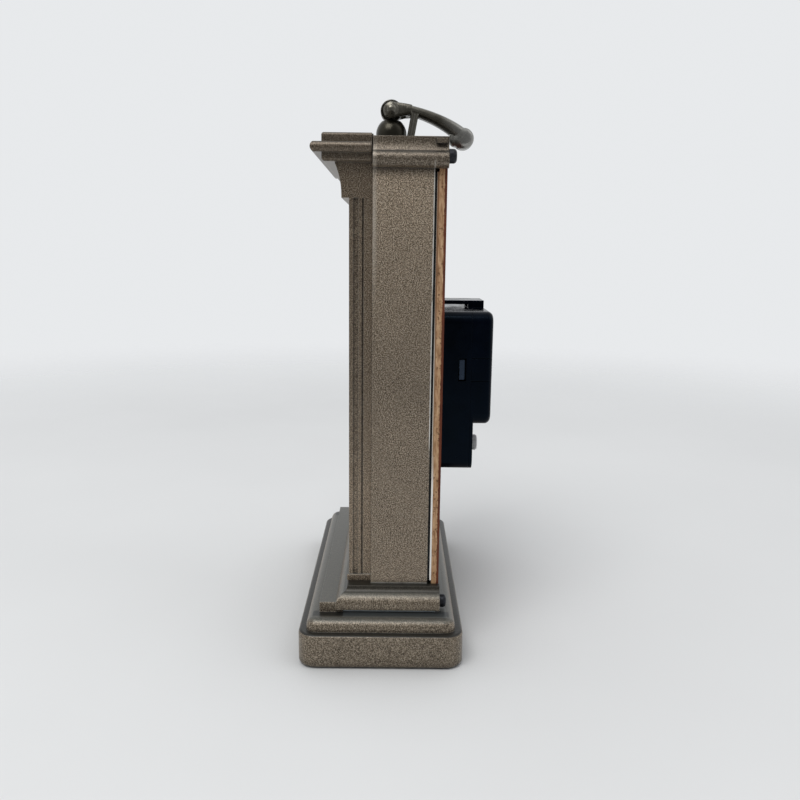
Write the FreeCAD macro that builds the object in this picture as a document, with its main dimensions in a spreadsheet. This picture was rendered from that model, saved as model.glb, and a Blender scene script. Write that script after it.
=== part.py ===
import FreeCAD, Part
import math
import os
import Sketcher
from FreeCAD import Rotation, Vector

# Carriage-style mantel clock with a quartz movement, in millimetres.
# X runs across the clock, Y from front to back and Z up; the origin is the middle of the base's underside.

doc = FreeCAD.newDocument("mantel_clock")

# Driving dimensions: alias, value and meaning, one row each.
DRIVING = [
    ("base_width", 117.2, "plinth slab across"),
    ("base_depth", 55, "plinth slab front to back"),
    ("base_corner", 6, "plan radius of the slab's corners"),
    ("slab_height", 11.4, "slab's wall, above the felt's showing edge"),
    ("slab_edge", 1.1, "rounding of the slab's edges"),
    ("felt_thick", 1, "felt sheet under the plinth"),
    ("felt_show", 0.4, "how far the felt stands below the slab"),
    ("felt_margin", 3, "felt's distance from the slab's edge"),
    ("tier_inset", 2.6, "quarter-round tier, in from the slab"),
    ("tier_height", 4.1, "quarter-round tier"),
    ("tier_run", 3, "horizontal run of the quarter-round"),
    ("seat_height", 1.2, "raised seat that leaves a shadow gap under the foot"),
    ("seat_inset", 1.5, "seat's edge, in from the foot"),
    ("step_height", 3.6, "raised front step on the tier"),
    ("step_side", 1, "front step's ends, in from the foot's ends"),
    ("step_inset", 6.7, "front step, in from the slab's front"),
    ("step_lap", 2.5, "front step under the foot"),
    ("plinth_wall", 3, "wall of the hollow plinth"),
    ("foot_side_inset", 8.2, "foot moulding, in from the slab's ends"),
    ("foot_front_inset", 12, "foot moulding, in from the slab's front"),
    ("foot_rear_inset", 7.7, "foot moulding, in from the slab's back"),
    ("foot_height", 7.1, "foot moulding"),
    ("foot_lip", 0.9, "upright lip at the foot's lower edge"),
    ("foot_round", 4.4, "radius of the foot's torus"),
    ("foot_cove", 2.5, "radius of the foot's cove"),
    ("foot_roll", 0.73, "share of the foot's slope that the torus takes"),
    ("foot_run", 4, "horizontal run of the foot's slope"),
    ("case_width", 89, "case across its side walls"),
    ("case_height", 137.2, "case from the foot to the cap"),
    ("case_wall", 2.4, "side wall of the case"),
    ("seam_depth", 3.7, "seam of fascia and case, in front of the origin"),
    ("rear_reveal", 1.4, "gap between the case's rear edge and the back panel"),
    ("flange_thick", 2, "front flange of the case"),
    ("cap_overhang", 3.5, "cap's half-round beyond the side wall"),
    ("cap_round", 5.2, "height of the cap's half-round"),
    ("cap_height", 9.5, "whole cap"),
    ("cap_floor", 2.8, "cavity's top above the cap's underside"),
    ("cap_cove", 7, "radius of the cove above the half-round"),
    ("cap_slope", 0.8, "run of the cove above the half-round"),
    ("cap_rim", 1.8, "cap's lip over the back panel"),
    ("lug_length", 3.3, "lugs at the cap's rear corners"),
    ("lug_height", 1.6, "lugs at the cap's rear corners"),
    ("lug_stand", 1.3, "lugs beyond the cap's upper edge"),
    ("lug_back", 0.6, "lugs from the cap's rear and under its top"),
    ("cornice_rise", 0.9, "cornice above the cap"),
    ("fascia_width", 83, "fascia across its pilasters"),
    ("fascia_depth", 7.6, "pilaster front to seam"),
    ("flute_share", 0.083, "flute radius as a share of the pilaster's face"),
    ("pitch_share", 0.287, "flute to flute as a share of the pilaster's face"),
    ("window_width", 57, "glazed opening across"),
    ("window_height", 106, "glazed opening"),
    ("window_bevel", 2.2, "sloped reveal around the opening"),
    ("block_out", 0.6, "base block beyond the pilasters"),
    ("block_height", 2.2, "base block under the pilasters"),
    ("flute_foot", 9, "flutes from the foot moulding"),
    ("flute_head", 6, "flutes under the frieze"),
    ("corbel_drop", 10.8, "concave corbel below the cornice"),
    ("corbel_reach", 2.4, "corbel's lower reach beyond the pilaster"),
    ("corbel_flare", 2.2, "corbel's extra reach at its top"),
    ("cornice_reach", 8.3, "lower and top bars beyond the pilaster"),
    ("nose_reach", 3.6, "nose bar beyond the other bars"),
    ("cornice_side", 3, "bars beyond the pilaster's side"),
    ("nose_side", 2, "nose bar beyond the other bars, at the side"),
    ("bar_low", 2.6, "lower cornice bar"),
    ("bar_nose", 3.1, "nose bar"),
    ("bar_top", 2.9, "top bar"),
    ("bar_round", 0.9, "rounding of the top and lower bars"),
    ("bar_gap", 0.35, "shadow gap between the bars' ends and the cap"),
    ("glass_thick", 2, "dial glass"),
    ("glass_lap", 2, "glass behind the fascia, all round"),
    ("part_clearance", 0.15, "clearance of loose parts in their seats"),
    ("panel_thick", 2.5, "fibre back panel"),
    ("panel_inset", 0.4, "panel's edge inside the case's width"),
    ("panel_recess", 0.3, "panel's back below the screws' seats"),
    ("card_thick", 0.6, "printed dial card"),
    ("screw_shank", 1, "radius of the case screws"),
    ("screw_head", 2.2, "radius of the pan heads"),
    ("head_thick", 2.3, "pan heads"),
    ("screw_reach", 7, "screw length under the head"),
    ("screw_wall", 0.2, "metal between the panel's pocket and the screw holes' clearance"),
    ("screw_rise", 0.9, "upper panel screws above the middle of the cap's half-round"),
    ("drive_depth", 1.1, "cross recess in the screw heads"),
    ("drive_width", 0.55, "arms of the cross recess"),
    ("drive_span", 2.4, "cross recess across"),
    ("fit", 0.05, "radial clearance of a running fit"),
    ("post_depth", 1.5, "handle pivot behind the origin"),
    ("pivot_height", 14.4, "handle pivot above the cap"),
    ("post_stem", 5, "radius of the post's foot"),
    ("post_stem_height", 4, "post's foot"),
    ("post_radius", 5.5, "post's rim"),
    ("post_rim", 1.6, "upright part of the rim"),
    ("post_neck", 3.4, "dome's radius where it meets the eye"),
    ("dome_curve", 6, "curve of the post's dome"),
    ("dome_gap", 0.5, "dome under the strap's boss"),
    ("eye_radius", 3.9, "post's eye"),
    ("eye_thick", 3.4, "eye across"),
    ("eye_ring", 1, "eye's outer ring"),
    ("eye_hub", 0.6, "metal round the eye's bore"),
    ("eye_web", 1.4, "web between the eye's two openings"),
    ("stud_radius", 2, "post's threaded stud"),
    ("nut_flats", 6.4, "post nut across flats"),
    ("nut_thick", 2.2, "post nut"),
    ("rivet_radius", 1.2, "handle rivet"),
    ("rosette_radius", 2.5, "rosette heads"),
    ("rosette_thick", 2, "rosette heads"),
    ("strap_width", 9, "handle strap across"),
    ("boss_radius", 2.9, "strap's boss at the pivot"),
    ("strap_bow", 66, "upper curve of the strap"),
    ("strap_hollow", 26, "lower curve of the strap"),
    ("fork_gap", 0.3, "between the fork and the eye"),
    ("grip_radius", 3.8, "grip at the strap's end"),
    ("grip_back", 26, "grip behind the pivot"),
    ("grip_drop", 9.2, "grip below the pivot"),
    ("curl_radius", 2.8, "scrolled curl inside the grip"),
    ("curl_in", 2.5, "curl in front of the grip"),
    ("curl_inset", 1, "curl's ends, in from the strap's sides"),
    ("peg_radius", 0.85, "ribs of the rest pegs"),
    ("peg_pitch", 1, "rib to rib of a rest peg"),
    ("peg_side", 3.4, "rest pegs from the middle"),
    ("peg_place", 8.7, "rest pegs behind the pivot"),
    ("peg_lean", 10, "lean of the rest pegs, degrees"),
    ("rest_gap", 0.1, "rest pegs above the cap"),
    ("move_size", 56, "movement, square"),
    ("move_corner", 4, "movement's corner radius"),
    ("train_room", 8.4, "room for the train inside the movement case"),
    ("cover_thick", 1.2, "movement cover's plate"),
    ("move_wall", 1.5, "movement case's walls"),
    ("move_height", 87.9, "hand centre above the table"),
    ("gasket_thick", 0.8, "rubber gasket"),
    ("bay_thick", 6.2, "bay behind the movement case"),
    ("bay_below", 11.6, "bay's lower edge under the hand centre"),
    ("hanger_width", 15, "hanger loop across"),
    ("hanger_gap", 1.3, "clear height of the hanger loop"),
    ("hanger_bar", 1.4, "hanger loop's bar"),
    ("hanger_back", 4.7, "hanger loop behind the cover"),
    ("tongue_line", 0.3, "lines moulded round the cover's latch tongues"),
    ("cell_radius", 7.1, "battery cell"),
    ("cell_length", 50.2, "battery cell"),
    ("cell_rise", 18.2, "cell's axis above the hand centre"),
    ("cell_room", 0.3, "room round the cell"),
    ("contact_thick", 0.4, "battery contacts"),
    ("bush_radius", 3.5, "threaded centre bush"),
    ("bush_reach", 3, "bush in front of the dial card"),
    ("hex_flats", 10, "centre nut across flats"),
    ("hex_thick", 2, "centre nut"),
    ("washer_thick", 0.5, "centre washer"),
    ("second_arbor", 0.55, "radius of the second arbor"),
    ("minute_outer", 1.3, "radius of the minute tube"),
    ("hour_outer", 1.95, "radius of the hour pipe"),
    ("stem_radius", 0.8, "radius of the setting stem"),
    ("pivot_radius", 0.5, "radius of the train's arbors"),
    ("hand_thick", 0.4, "hands"),
    ("hand_step", 1.3, "hand to hand"),
    ("hour_length", 19, "hour hand"),
    ("minute_length", 26.5, "minute hand"),
    ("second_length", 27, "second hand"),
    ("knob_radius", 2.9, "setting knob"),
    ("knob_stand", 3.2, "setting knob behind the movement case"),
    ("motion_module", 0.5, "module of the minute tube's gears"),
    ("third_module", 0.25, "module of second pinion and third wheel"),
    ("drive_module", 0.28, "module of intermediate pinion and second wheel"),
]

sheet = doc.addObject("Spreadsheet::Sheet", "sizes")
for row, (alias, value, meaning) in enumerate(DRIVING, start=1):
    sheet.set("A%d" % row, alias)
    sheet.set("B%d" % row, str(value))
    sheet.setAlias("B%d" % row, alias)
    sheet.set("C%d" % row, meaning)
doc.recompute()


class Size:
    """A length that keeps both its number and the sheet formula that it comes from."""

    def __init__(self, value, text):
        self.value = float(value)
        self.text = text

    def __add__(self, other):
        other = sized(other)
        return Size(self.value + other.value, "(%s + %s)" % (self.text, other.text))

    def __sub__(self, other):
        other = sized(other)
        return Size(self.value - other.value, "(%s - %s)" % (self.text, other.text))

    def __mul__(self, other):
        other = sized(other)
        return Size(self.value * other.value, "(%s * %s)" % (self.text, other.text))

    def __truediv__(self, other):
        other = sized(other)
        return Size(self.value / other.value, "(%s / %s)" % (self.text, other.text))

    def __neg__(self):
        return Size(-self.value, "(0 - %s)" % self.text)

    def __radd__(self, other):
        return sized(other) + self

    def __rsub__(self, other):
        return sized(other) - self

    def __rmul__(self, other):
        return sized(other) * self


def sized(number):
    """Return a Size for a plain number, or the Size itself."""
    if isinstance(number, Size):
        return number
    return Size(number, repr(float(number)))


def cell(alias):
    """Return a driving dimension from the sheet."""
    return Size(sheet.get(alias), "sizes." + alias)


def sine(degrees):
    """Return the sine of an angle in degrees."""
    return Size(math.sin(math.radians(degrees.value)), "sin(%s)" % degrees.text)


def cosine(degrees):
    """Return the cosine of an angle in degrees."""
    return Size(math.cos(math.radians(degrees.value)), "cos(%s)" % degrees.text)


def root(size):
    """Return the square root of a Size."""
    return Size(math.sqrt(size.value), "sqrt(%s)" % size.text)


derived_rows = []


def derived(alias, size):
    """Keep a worked-out length in the sheet and return it under its own name."""
    derived_rows.append(alias)
    row = len(DRIVING) + len(derived_rows) + 1
    sheet.set("A%d" % row, alias)
    sheet.set("B%d" % row, "=" + size.text.replace("sizes.", ""))
    sheet.setAlias("B%d" % row, alias)
    return Size(size.value, "sizes." + alias)


def bind(thing, prop, size):
    """Drive one property of a document object from the sheet."""
    thing.setExpression(prop, sized(size).text)


def place(thing, x, y, z, rotation=Rotation()):
    """Give a document object its Placement, with the position driven from the sheet."""
    x, y, z = sized(x), sized(y), sized(z)
    thing.Placement = FreeCAD.Placement(Vector(x.value, y.value, z.value), rotation)
    bind(thing, "Placement.Base.x", x)
    bind(thing, "Placement.Base.y", y)
    bind(thing, "Placement.Base.z", z)


nodes = []


def node(thing, name):
    """Name a finished sub-part."""
    thing.Label = name
    nodes.append(thing)
    return thing


# Which way along its axis each sketch plane faces, and the turn that lays a bar along an axis.
PLANES = {"XY_Plane": 1, "XZ_Plane": -1, "YZ_Plane": 1}
AXIS_TURN = {
    "x": Rotation(Vector(0, 0, 1), Vector(1, 0, 0)),
    "y": Rotation(Vector(0, 0, 1), Vector(0, 1, 0)),
    "z": Rotation(),
}


def draw(sketch, points):
    """Draw a closed outline: each point is (a, b) after a line or (a, b, radius, side) after an arc.

    side is 1 where the arc's centre lies left of its chord and -1 where it lies right. Every corner and
    radius is held by a constraint that reads the sheet.
    """
    ends = [(sized(p[0]), sized(p[1])) for p in points]
    count = len(points)
    for i, point in enumerate(points):
        a0, b0 = ends[i - 1]
        a1, b1 = ends[i]
        start = Vector(a0.value, b0.value, 0)
        end = Vector(a1.value, b1.value, 0)
        if len(point) == 2:
            sketch.addGeometry(Part.LineSegment(start, end), False)
        else:
            radius = sized(point[2]).value
            chord = end - start
            left = Vector(-chord.y, chord.x, 0).normalize()
            sagitta = radius - math.sqrt(max(radius ** 2 - (chord.Length / 2) ** 2, 0))
            middle = (start + end) * 0.5 - left * (sagitta * point[3])
            if point[3] < 0:
                start, end = end, start
            sketch.addGeometry(Part.ArcOfCircle(start, middle, end), False)
    tails = []
    heads = []
    for i, point in enumerate(points):
        backwards = len(point) == 4 and point[3] < 0
        tails.append(2 if backwards else 1)
        heads.append(1 if backwards else 2)
    for i in range(count):
        sketch.addConstraint(Sketcher.Constraint("Coincident", i, heads[i], (i + 1) % count,
                                                 tails[(i + 1) % count]))
    for i, (a, b) in enumerate(ends):
        for kind, size in (("DistanceX", a), ("DistanceY", b)):
            number = sketch.addConstraint(Sketcher.Constraint(kind, -1, 1, i, heads[i], size.value))
            sketch.setExpression("Constraints[%d]" % number, size.text)
        if len(points[i]) == 4:
            radius = sized(points[i][2])
            number = sketch.addConstraint(Sketcher.Constraint("Radius", i, radius.value))
            sketch.setExpression("Constraints[%d]" % number, radius.text)


def sketch_on(body, plane, offset, points):
    """Attach a sketch to a plane of its own body, shifted along the plane's normal, and draw on it."""
    sketch = body.newObject("Sketcher::SketchObject", body.Name + "_sketch")
    support = [f for f in body.Origin.OriginFeatures if f.Role == plane][0]
    sketch.AttachmentSupport = [(support, "")]
    sketch.MapMode = "FlatFace"
    bind(sketch, "AttachmentOffset.Base.z", sized(offset))
    draw(sketch, points)
    return sketch


def prism(name, plane, points, low, high):
    """Pad an outline between two levels along the axis that the plane faces."""
    body = doc.addObject("PartDesign::Body", name)
    low, high = sized(low), sized(high)
    offset = low if PLANES[plane] > 0 else -high
    sketch = sketch_on(body, plane, offset, points)
    pad = body.newObject("PartDesign::Pad", name + "_pad")
    pad.Profile = sketch
    bind(pad, "Length", high - low)
    sketch.Visibility = False
    body.Tip = pad
    return body


def turned(name, points):
    """Turn a half outline, given as radius and height, about the upright axis."""
    body = doc.addObject("PartDesign::Body", name)
    sketch = sketch_on(body, "XZ_Plane", 0, points)
    turn = body.newObject("PartDesign::Revolution", name + "_turn")
    turn.Profile = sketch
    turn.ReferenceAxis = (sketch, ["V_Axis"])
    turn.Angle = 360
    body.Tip = turn
    return body


def box(name, x, y, z):
    """Make a block from its low and high values on each axis."""
    block = doc.addObject("Part::Box", name)
    bind(block, "Length", sized(x[1]) - sized(x[0]))
    bind(block, "Width", sized(y[1]) - sized(y[0]))
    bind(block, "Height", sized(z[1]) - sized(z[0]))
    place(block, x[0], y[0], z[0])
    return block


def rod(name, axis, radius, x, y, z, length):
    """Make a round bar that starts at a point and runs along an axis."""
    bar = doc.addObject("Part::Cylinder", name)
    bind(bar, "Radius", sized(radius))
    bind(bar, "Height", sized(length))
    place(bar, x, y, z, AXIS_TURN[axis])
    return bar


def hexagon(name, axis, flats, x, y, z, length):
    """Make a six-sided bar, given across its flats, that starts at a point and runs along an axis."""
    bar = doc.addObject("Part::Prism", name)
    bar.Polygon = 6
    bind(bar, "Circumradius", sized(flats) / math.sqrt(3))
    bind(bar, "Height", sized(length))
    place(bar, x, y, z, AXIS_TURN[axis])
    return bar


def fuse(name, *pieces):
    """Join pieces into one solid."""
    joined = doc.addObject("Part::MultiFuse", name)
    joined.Shapes = list(pieces)
    joined.Refine = True
    return joined


def group(name, *pieces):
    """Keep pieces as separate solids of one sub-part."""
    kept = doc.addObject("Part::Compound", name)
    kept.Links = list(pieces)
    return kept


def cut(name, base, *tools):
    """Take tools away from a base."""
    taken = doc.addObject("Part::Cut", name)
    taken.Base = base
    taken.Tool = tools[0] if len(tools) == 1 else fuse(name + "_tools", *tools)
    taken.Refine = True
    return taken


def common(name, first, second):
    """Keep what two pieces share."""
    shared = doc.addObject("Part::Common", name)
    shared.Base = first
    shared.Tool = second
    return shared


def copies(name, piece, spots, rotation=Rotation()):
    """Set linked copies of one piece at several spots, as separate solids of one sub-part."""
    links = []
    for i, (x, y, z) in enumerate(spots):
        link = doc.addObject("App::Link", "%s_%d" % (name, i + 1))
        link.LinkedObject = piece
        link.LinkTransform = False
        place(link, x, y, z, rotation)
        links.append(link)
    return group(name, *links)


def rounded(x, y, radius):
    """Outline of a rectangle with rounded corners, from low and high values."""
    (x0, x1), (y0, y1) = x, y
    r = sized(radius)
    return [
        (x0 + r, y0), (x1 - r, y0), (x1, y0 + r, r, 1), (x1, y1 - r), (x1 - r, y1, r, 1),
        (x0 + r, y1), (x0, y1 - r, r, 1), (x0, y0 + r), (x0 + r, y0, r, 1),
    ][1:]


# Levels and planes that several pieces share.
base_x = cell("base_width") / 2
base_y = cell("base_depth") / 2
slab_low = cell("felt_show")
slab_top = slab_low + cell("slab_height")
tier_top = slab_top + cell("tier_height")
seat_top = tier_top + cell("seat_height")
foot_top = seat_top + cell("foot_height")
foot_x = base_x - cell("foot_side_inset")
foot_front = cell("foot_front_inset") - base_y
foot_rear = base_y - cell("foot_rear_inset")
case_x = cell("case_width") / 2
case_in_x = case_x - cell("case_wall")
cap_low = foot_top + cell("case_height")
cap_top = cap_low + cell("cap_height")
cavity_top = cap_low + cell("cap_floor")
seam = -cell("seam_depth")
panel_rear = foot_rear - cell("panel_recess")
panel_front = panel_rear - cell("panel_thick")
card_front = panel_front - cell("card_thick")
seat_face = panel_front
case_rear = panel_front - cell("rear_reveal")
panel_x = case_x - cell("panel_inset")
pocket_x = panel_x + cell("part_clearance")
centre_z = cell("move_height")


def tips(body, radius, test):
    """Round the edges of a body's tip that pass a test."""
    doc.recompute()
    sharp = body.Tip
    names = ["Edge%d" % (i + 1) for i, edge in enumerate(sharp.Shape.Edges) if test(edge)]
    fillet = body.newObject("PartDesign::Fillet", body.Name + "_fillet")
    fillet.Base = (sharp, names)
    bind(fillet, "Radius", radius)
    body.Tip = fillet
    return body


def level(edge):
    """Tell whether an edge lies in a level plane."""
    return edge.BoundBox.ZLength < 1e-6


def bevel(name, base, size, test):
    """Chamfer the edges of a piece that pass a test."""
    doc.recompute()
    piece = doc.addObject("Part::Chamfer", name)
    piece.Base = base
    width = sized(size).value
    piece.Edges = [(i + 1, width, width) for i, edge in enumerate(base.Shape.Edges) if test(edge)]
    return piece


def mirrored(half):
    """Close an outline given as its right half, from the lowest point up, with its mirror image."""
    left = []
    for i in range(len(half) - 1, -1, -1):
        arc = half[i + 1] if i + 1 < len(half) else half[i][:2]
        left.append((-sized(half[i][0]), half[i][1]) + tuple(arc[2:]))
    return list(half) + left


# Base: felt sheet, hollow cast plinth and foot moulding.
felt_x = base_x - cell("felt_margin")
felt_y = base_y - cell("felt_margin")
felt_corner = cell("base_corner") / 2
node(prism("felt", "XY_Plane", rounded((-felt_x, felt_x), (-felt_y, felt_y), felt_corner), 0,
           cell("felt_thick")),
     "base_felt")

slab = prism("slab", "XY_Plane", rounded((-base_x, base_x), (-base_y, base_y), cell("base_corner")),
             slab_low, slab_top)
tips(slab, cell("slab_edge"), level)
tier_x = base_x - cell("tier_inset")
tier_y = base_y - cell("tier_inset")
tier_corner = cell("tier_run") + 0.5
tier = prism("tier", "XY_Plane", rounded((-tier_x, tier_x), (-tier_y, tier_y), tier_corner), slab_top,
             tier_top)
tips(tier, cell("tier_run"), lambda edge: level(edge) and edge.BoundBox.ZMin > slab_top.value + 0.1)
step_x = foot_x - cell("step_side")
step_front = cell("step_inset") - base_y
step_rear = foot_front + cell("step_lap")
step_top = tier_top + cell("step_height")
front_step = box("front_step", (-step_x, step_x), (step_front, step_rear), (tier_top, step_top))
seat_in = cell("seat_inset")
seat = box("seat", (seat_in - foot_x, foot_x - seat_in), (foot_front + seat_in, foot_rear - seat_in),
           (tier_top, seat_top))
hollow_top = tier_top - cell("plinth_wall")
hollow = box("plinth_hollow", (cell("plinth_wall") - foot_x, foot_x - cell("plinth_wall")),
             (foot_front + cell("plinth_wall"), foot_rear - cell("plinth_wall")), (slab_low - 1, hollow_top))
felt_gap = cell("part_clearance")
recess = prism("felt_recess", "XY_Plane",
               rounded((-felt_x - felt_gap, felt_x + felt_gap), (-felt_y - felt_gap, felt_y + felt_gap),
                       felt_corner),
               slab_low - 1, cell("felt_thick"))

# Long screws hold plinth, foot and case together from inside the plinth.
bolt_spots = [(sx * case_in_x * 0.8, y) for sx in (-1, 1) for y in (seam + 6, case_rear - 5)]
bolt_length = foot_top - hollow_top + 6


def bolt_holes(name, radius, low, high):
    """Upright holes for the plinth screws between two levels."""
    rods = [rod("%s_%d" % (name, i + 1), "z", radius, x, y, low, high - low)
            for i, (x, y) in enumerate(bolt_spots)]
    return fuse(name, *rods)


loose = cell("screw_shank") + cell("part_clearance")
tight = cell("screw_shank") + cell("fit")
node(cut("plinth_cast", fuse("plinth_outer", slab, tier, front_step, seat), hollow, recess,
         bolt_holes("plinth_bolt_holes", loose, hollow_top - 1, seat_top + 1)), "plinth")


def pan_screw(name, length):
    """A pan-head screw whose head sits on the level plane and whose shank points up."""
    head = cell("screw_head")
    thick = cell("head_thick")
    shank = cell("screw_shank")
    blank = turned(name, [(0, -thick), (head - 0.9, -thick), (head, 0.9 - thick, 1.1, 1), (head, 0),
                          (shank, 0),
                          (shank, length - shank), (shank - 0.6, length), (0, length)])
    span = cell("drive_span") / 2
    arm = cell("drive_width") / 2
    deep = (-thick - 1, cell("drive_depth") - thick)
    return cut(name + "_driven", blank, box(name + "_slot_a", (-span, span), (-arm, arm), deep),
               box(name + "_slot_b", (-arm, arm), (-span, span), deep))


bolt = pan_screw("plinth_screw", bolt_length)
node(copies("plinth_screw_set", bolt, [(x, y, hollow_top) for x, y in bolt_spots]), "plinth_screws")

# The foot's slope is an ogee: a torus under a cove. Its two outlines, met at mitres, make the moulding.
foot_mid_z = seat_top + cell("foot_height") * cell("foot_roll")
foot_lip_z = seat_top + cell("foot_lip")
run = cell("foot_run")
foot_side = mirrored([
    (foot_x, seat_top), (foot_x, foot_lip_z),
    (foot_x - run * cell("foot_roll"), foot_mid_z, cell("foot_round"), 1),
    (foot_x - run, foot_top, cell("foot_cove"), -1)])
foot_end = [
    (foot_front, seat_top), (foot_rear, seat_top), (foot_rear, foot_top), (foot_front + run, foot_top),
    (foot_front + run * cell("foot_roll"), foot_mid_z, cell("foot_cove"), -1),
    (foot_front, foot_lip_z, cell("foot_round"), 1)]
foot_block = common("foot_block", prism("foot_across", "YZ_Plane", foot_end, -foot_x - 1, foot_x + 1),
                    prism("foot_along", "XZ_Plane", foot_side, foot_front - 1, foot_rear))
panel_low = seat_top + cell("part_clearance")
foot_pocket = box("foot_pocket", (-pocket_x, pocket_x), (seat_face, foot_rear + 1),
                  (seat_top - 1, foot_top + 1))
screw_x = pocket_x + loose + cell("screw_wall")
screw_low = tier_top + cell("screw_head") + 0.6
screw_high = cap_low + cell("cap_round") / 2 + cell("screw_rise")


def panel_holes(name, height):
    """Holes for the panel screws on both sides at one height."""
    depth = cell("screw_reach") + 0.5
    rods = [rod("%s_%d" % (name, i), "y", tight, side * screw_x, foot_rear - depth, height, depth + 1)
            for i, side in enumerate((-1, 1))]
    return fuse(name, *rods)


step_gap = cell("part_clearance")
step_rebate = box("step_rebate", (-step_x - step_gap, step_x + step_gap),
                  (foot_front - 1, step_rear + step_gap),
                  (seat_top - 1, step_top + step_gap))
node(cut("foot_cast", foot_block, foot_pocket, step_rebate, panel_holes("foot_screw_holes", screw_low),
         bolt_holes("foot_bolt_holes", loose, seat_top - 1, foot_top + 1)), "foot_moulding")

# Case shell: side walls, front flange and the cap, cast in one and open at the back.
walls = box("case_walls", (-case_x, case_x), (seam, case_rear), (foot_top, cap_low + 1))
round_x = case_x + cell("cap_overhang") - cell("cap_round") / 2
cap_edge = round_x - cell("cap_slope")
cap_round_top = cap_low + cell("cap_round")
cap_outline = mirrored([
    (round_x, cap_low), (round_x, cap_round_top, cell("cap_round") * 0.51, 1),
    (cap_edge, cap_top, cell("cap_cove"), -1)])
cap = prism("cap", "XZ_Plane", cap_outline, seam, foot_rear)
lug_back = cell("lug_back")
lug_y = (foot_rear - cell("lug_length") - lug_back, foot_rear - lug_back)
lug_z = (cap_top - cell("lug_height") - lug_back, cap_top - lug_back)
lug_in = cap_edge - 1
lug_out = cap_edge + cell("lug_stand")
lugs = [box("cap_lug_%d" % i, x, lug_y, lug_z)
        for i, x in enumerate(((-lug_out, -lug_in), (lug_in, lug_out)))]
pocket_top = cap_top - cell("cap_rim")
cap_pocket = box("cap_pocket", (-pocket_x, pocket_x), (seat_face, foot_rear + 1), (cap_low - 1, pocket_top))
floor_top = foot_top + cell("case_wall")
flange_rear = seam + cell("flange_thick")
cavity = box("case_cavity", (-case_in_x, case_in_x), (flange_rear, seat_face + 0.5), (floor_top, cavity_top))
window_x = cell("window_width") / 2
window_z = cell("window_height") / 2
lap = cell("glass_lap")
flange_window = box("flange_window", (-window_x - lap / 2, window_x + lap / 2), (seam - 1, flange_rear + 1),
                    (centre_z - window_z - lap / 2, centre_z + window_z + lap / 2))
bosses = fuse("case_bosses",
              *[rod("case_boss_%d" % i, "z", loose * 2.4, x, y, foot_top, floor_top - foot_top + 5)
                for i, (x, y) in enumerate(bolt_spots)])
post_y = cell("post_depth")
stud_hole = rod("stud_hole", "z", cell("stud_radius") + cell("part_clearance"), 0, post_y, cavity_top - 1,
                cap_top - cavity_top + 2)
front_x = cell("fascia_width") / 2
fix_x = (window_x + lap / 2 + case_in_x) / 2
fix_z = window_z - 8
fix_spots = [(sx * fix_x, centre_z + sz * fix_z) for sx in (-1, 1) for sz in (-1, 1)]
fix_length = cell("flange_thick") + cell("fascia_depth") * 0.55


def fix_holes(name, radius, low, high):
    """Holes for the fascia screws between two depths."""
    return fuse(name, *[rod("%s_%d" % (name, i), "y", radius, x, low, z, high - low)
                        for i, (x, z) in enumerate(fix_spots)])


shell = cut("case_hollow", fuse("case_outer", walls, cap, *lugs), cap_pocket, cavity, flange_window)
node(cut("case_cast", fuse("case_bossed", shell, bosses),
         bolt_holes("case_bolt_holes", tight, foot_top - 1, hollow_top + bolt_length + 0.5), stud_hole,
         panel_holes("cap_screw_holes", screw_high),
         fix_holes("flange_holes", loose, seam - 1, flange_rear + 1)),
     "case_shell")

# Front fascia: pilasters round the glazed opening, a concave frieze and the three-bar cornice.
front = seam - cell("fascia_depth")
cornice_top = cap_top + cell("cornice_rise")
nose_top = cornice_top - cell("bar_top")
nose_low = nose_top - cell("bar_nose")
cornice_low = nose_low - cell("bar_low")
frieze_low = cornice_low - cell("corbel_drop")
bar_y = front - cell("cornice_reach")
nose_y = bar_y - cell("nose_reach")
bar_x = front_x + cell("cornice_side")
nose_x = bar_x + cell("nose_side")
nose_round = cell("bar_nose") * 0.6
bar_round = cell("bar_round")
cornice_end = [
    (bar_y + bar_round, cornice_low, bar_round, 1), (seam, cornice_low), (seam, cornice_top),
    (bar_y + bar_round, cornice_top), (bar_y, cornice_top - bar_round, bar_round, 1), (bar_y, nose_top),
    (nose_y + 1, nose_top), (nose_y + 1, nose_low, nose_round, 1), (bar_y, nose_low),
    (bar_y, cornice_low + bar_round)]
cornice_side = mirrored([
    (bar_x - bar_round, cornice_low), (bar_x, cornice_low + bar_round, bar_round, 1), (bar_x, nose_low),
    (nose_x - 1, nose_low), (nose_x - 1, nose_top, nose_round, 1), (bar_x, nose_top),
    (bar_x, cornice_top - bar_round), (bar_x - bar_round, cornice_top, bar_round, 1)])
bar_ends = [box("bar_gap_%d" % i, x, (seam - cell("bar_gap"), seam + 1), (cornice_low - 1, cornice_top + 1))
            for i, x in enumerate(((-nose_x - 1, -front_x), (front_x, nose_x + 1)))]
cornice_block = common("cornice_block",
                       prism("cornice_across", "YZ_Plane", cornice_end, -nose_x - 1, nose_x + 1),
                 prism("cornice_along", "XZ_Plane", cornice_side, nose_y - 2, seam))
cornice = cut("cornice", cornice_block, *bar_ends)
reach = cell("corbel_reach")
flare_y = front - reach - cell("corbel_flare")
frieze = prism("frieze", "YZ_Plane", [
    (front - reach, frieze_low), (seam, frieze_low), (seam, cornice_low + 0.1), (flare_y, cornice_low + 0.1),
    (front - reach, frieze_low + 0.6, 24, -1)], -front_x, front_x)
frame = box("fascia_frame", (-front_x, front_x), (front, seam), (foot_top, frieze_low + 1))
block_x = front_x + cell("block_out")
block_top = foot_top + cell("block_height")
base_blocks = box("fascia_base", (-block_x, block_x), (front - cell("block_out"), seam),
                  (foot_top, block_top))
window = box("fascia_window", (-window_x, window_x), (front - 5, seam + 1),
             (centre_z - window_z, centre_z + window_z))
glass_rear = seam
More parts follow.
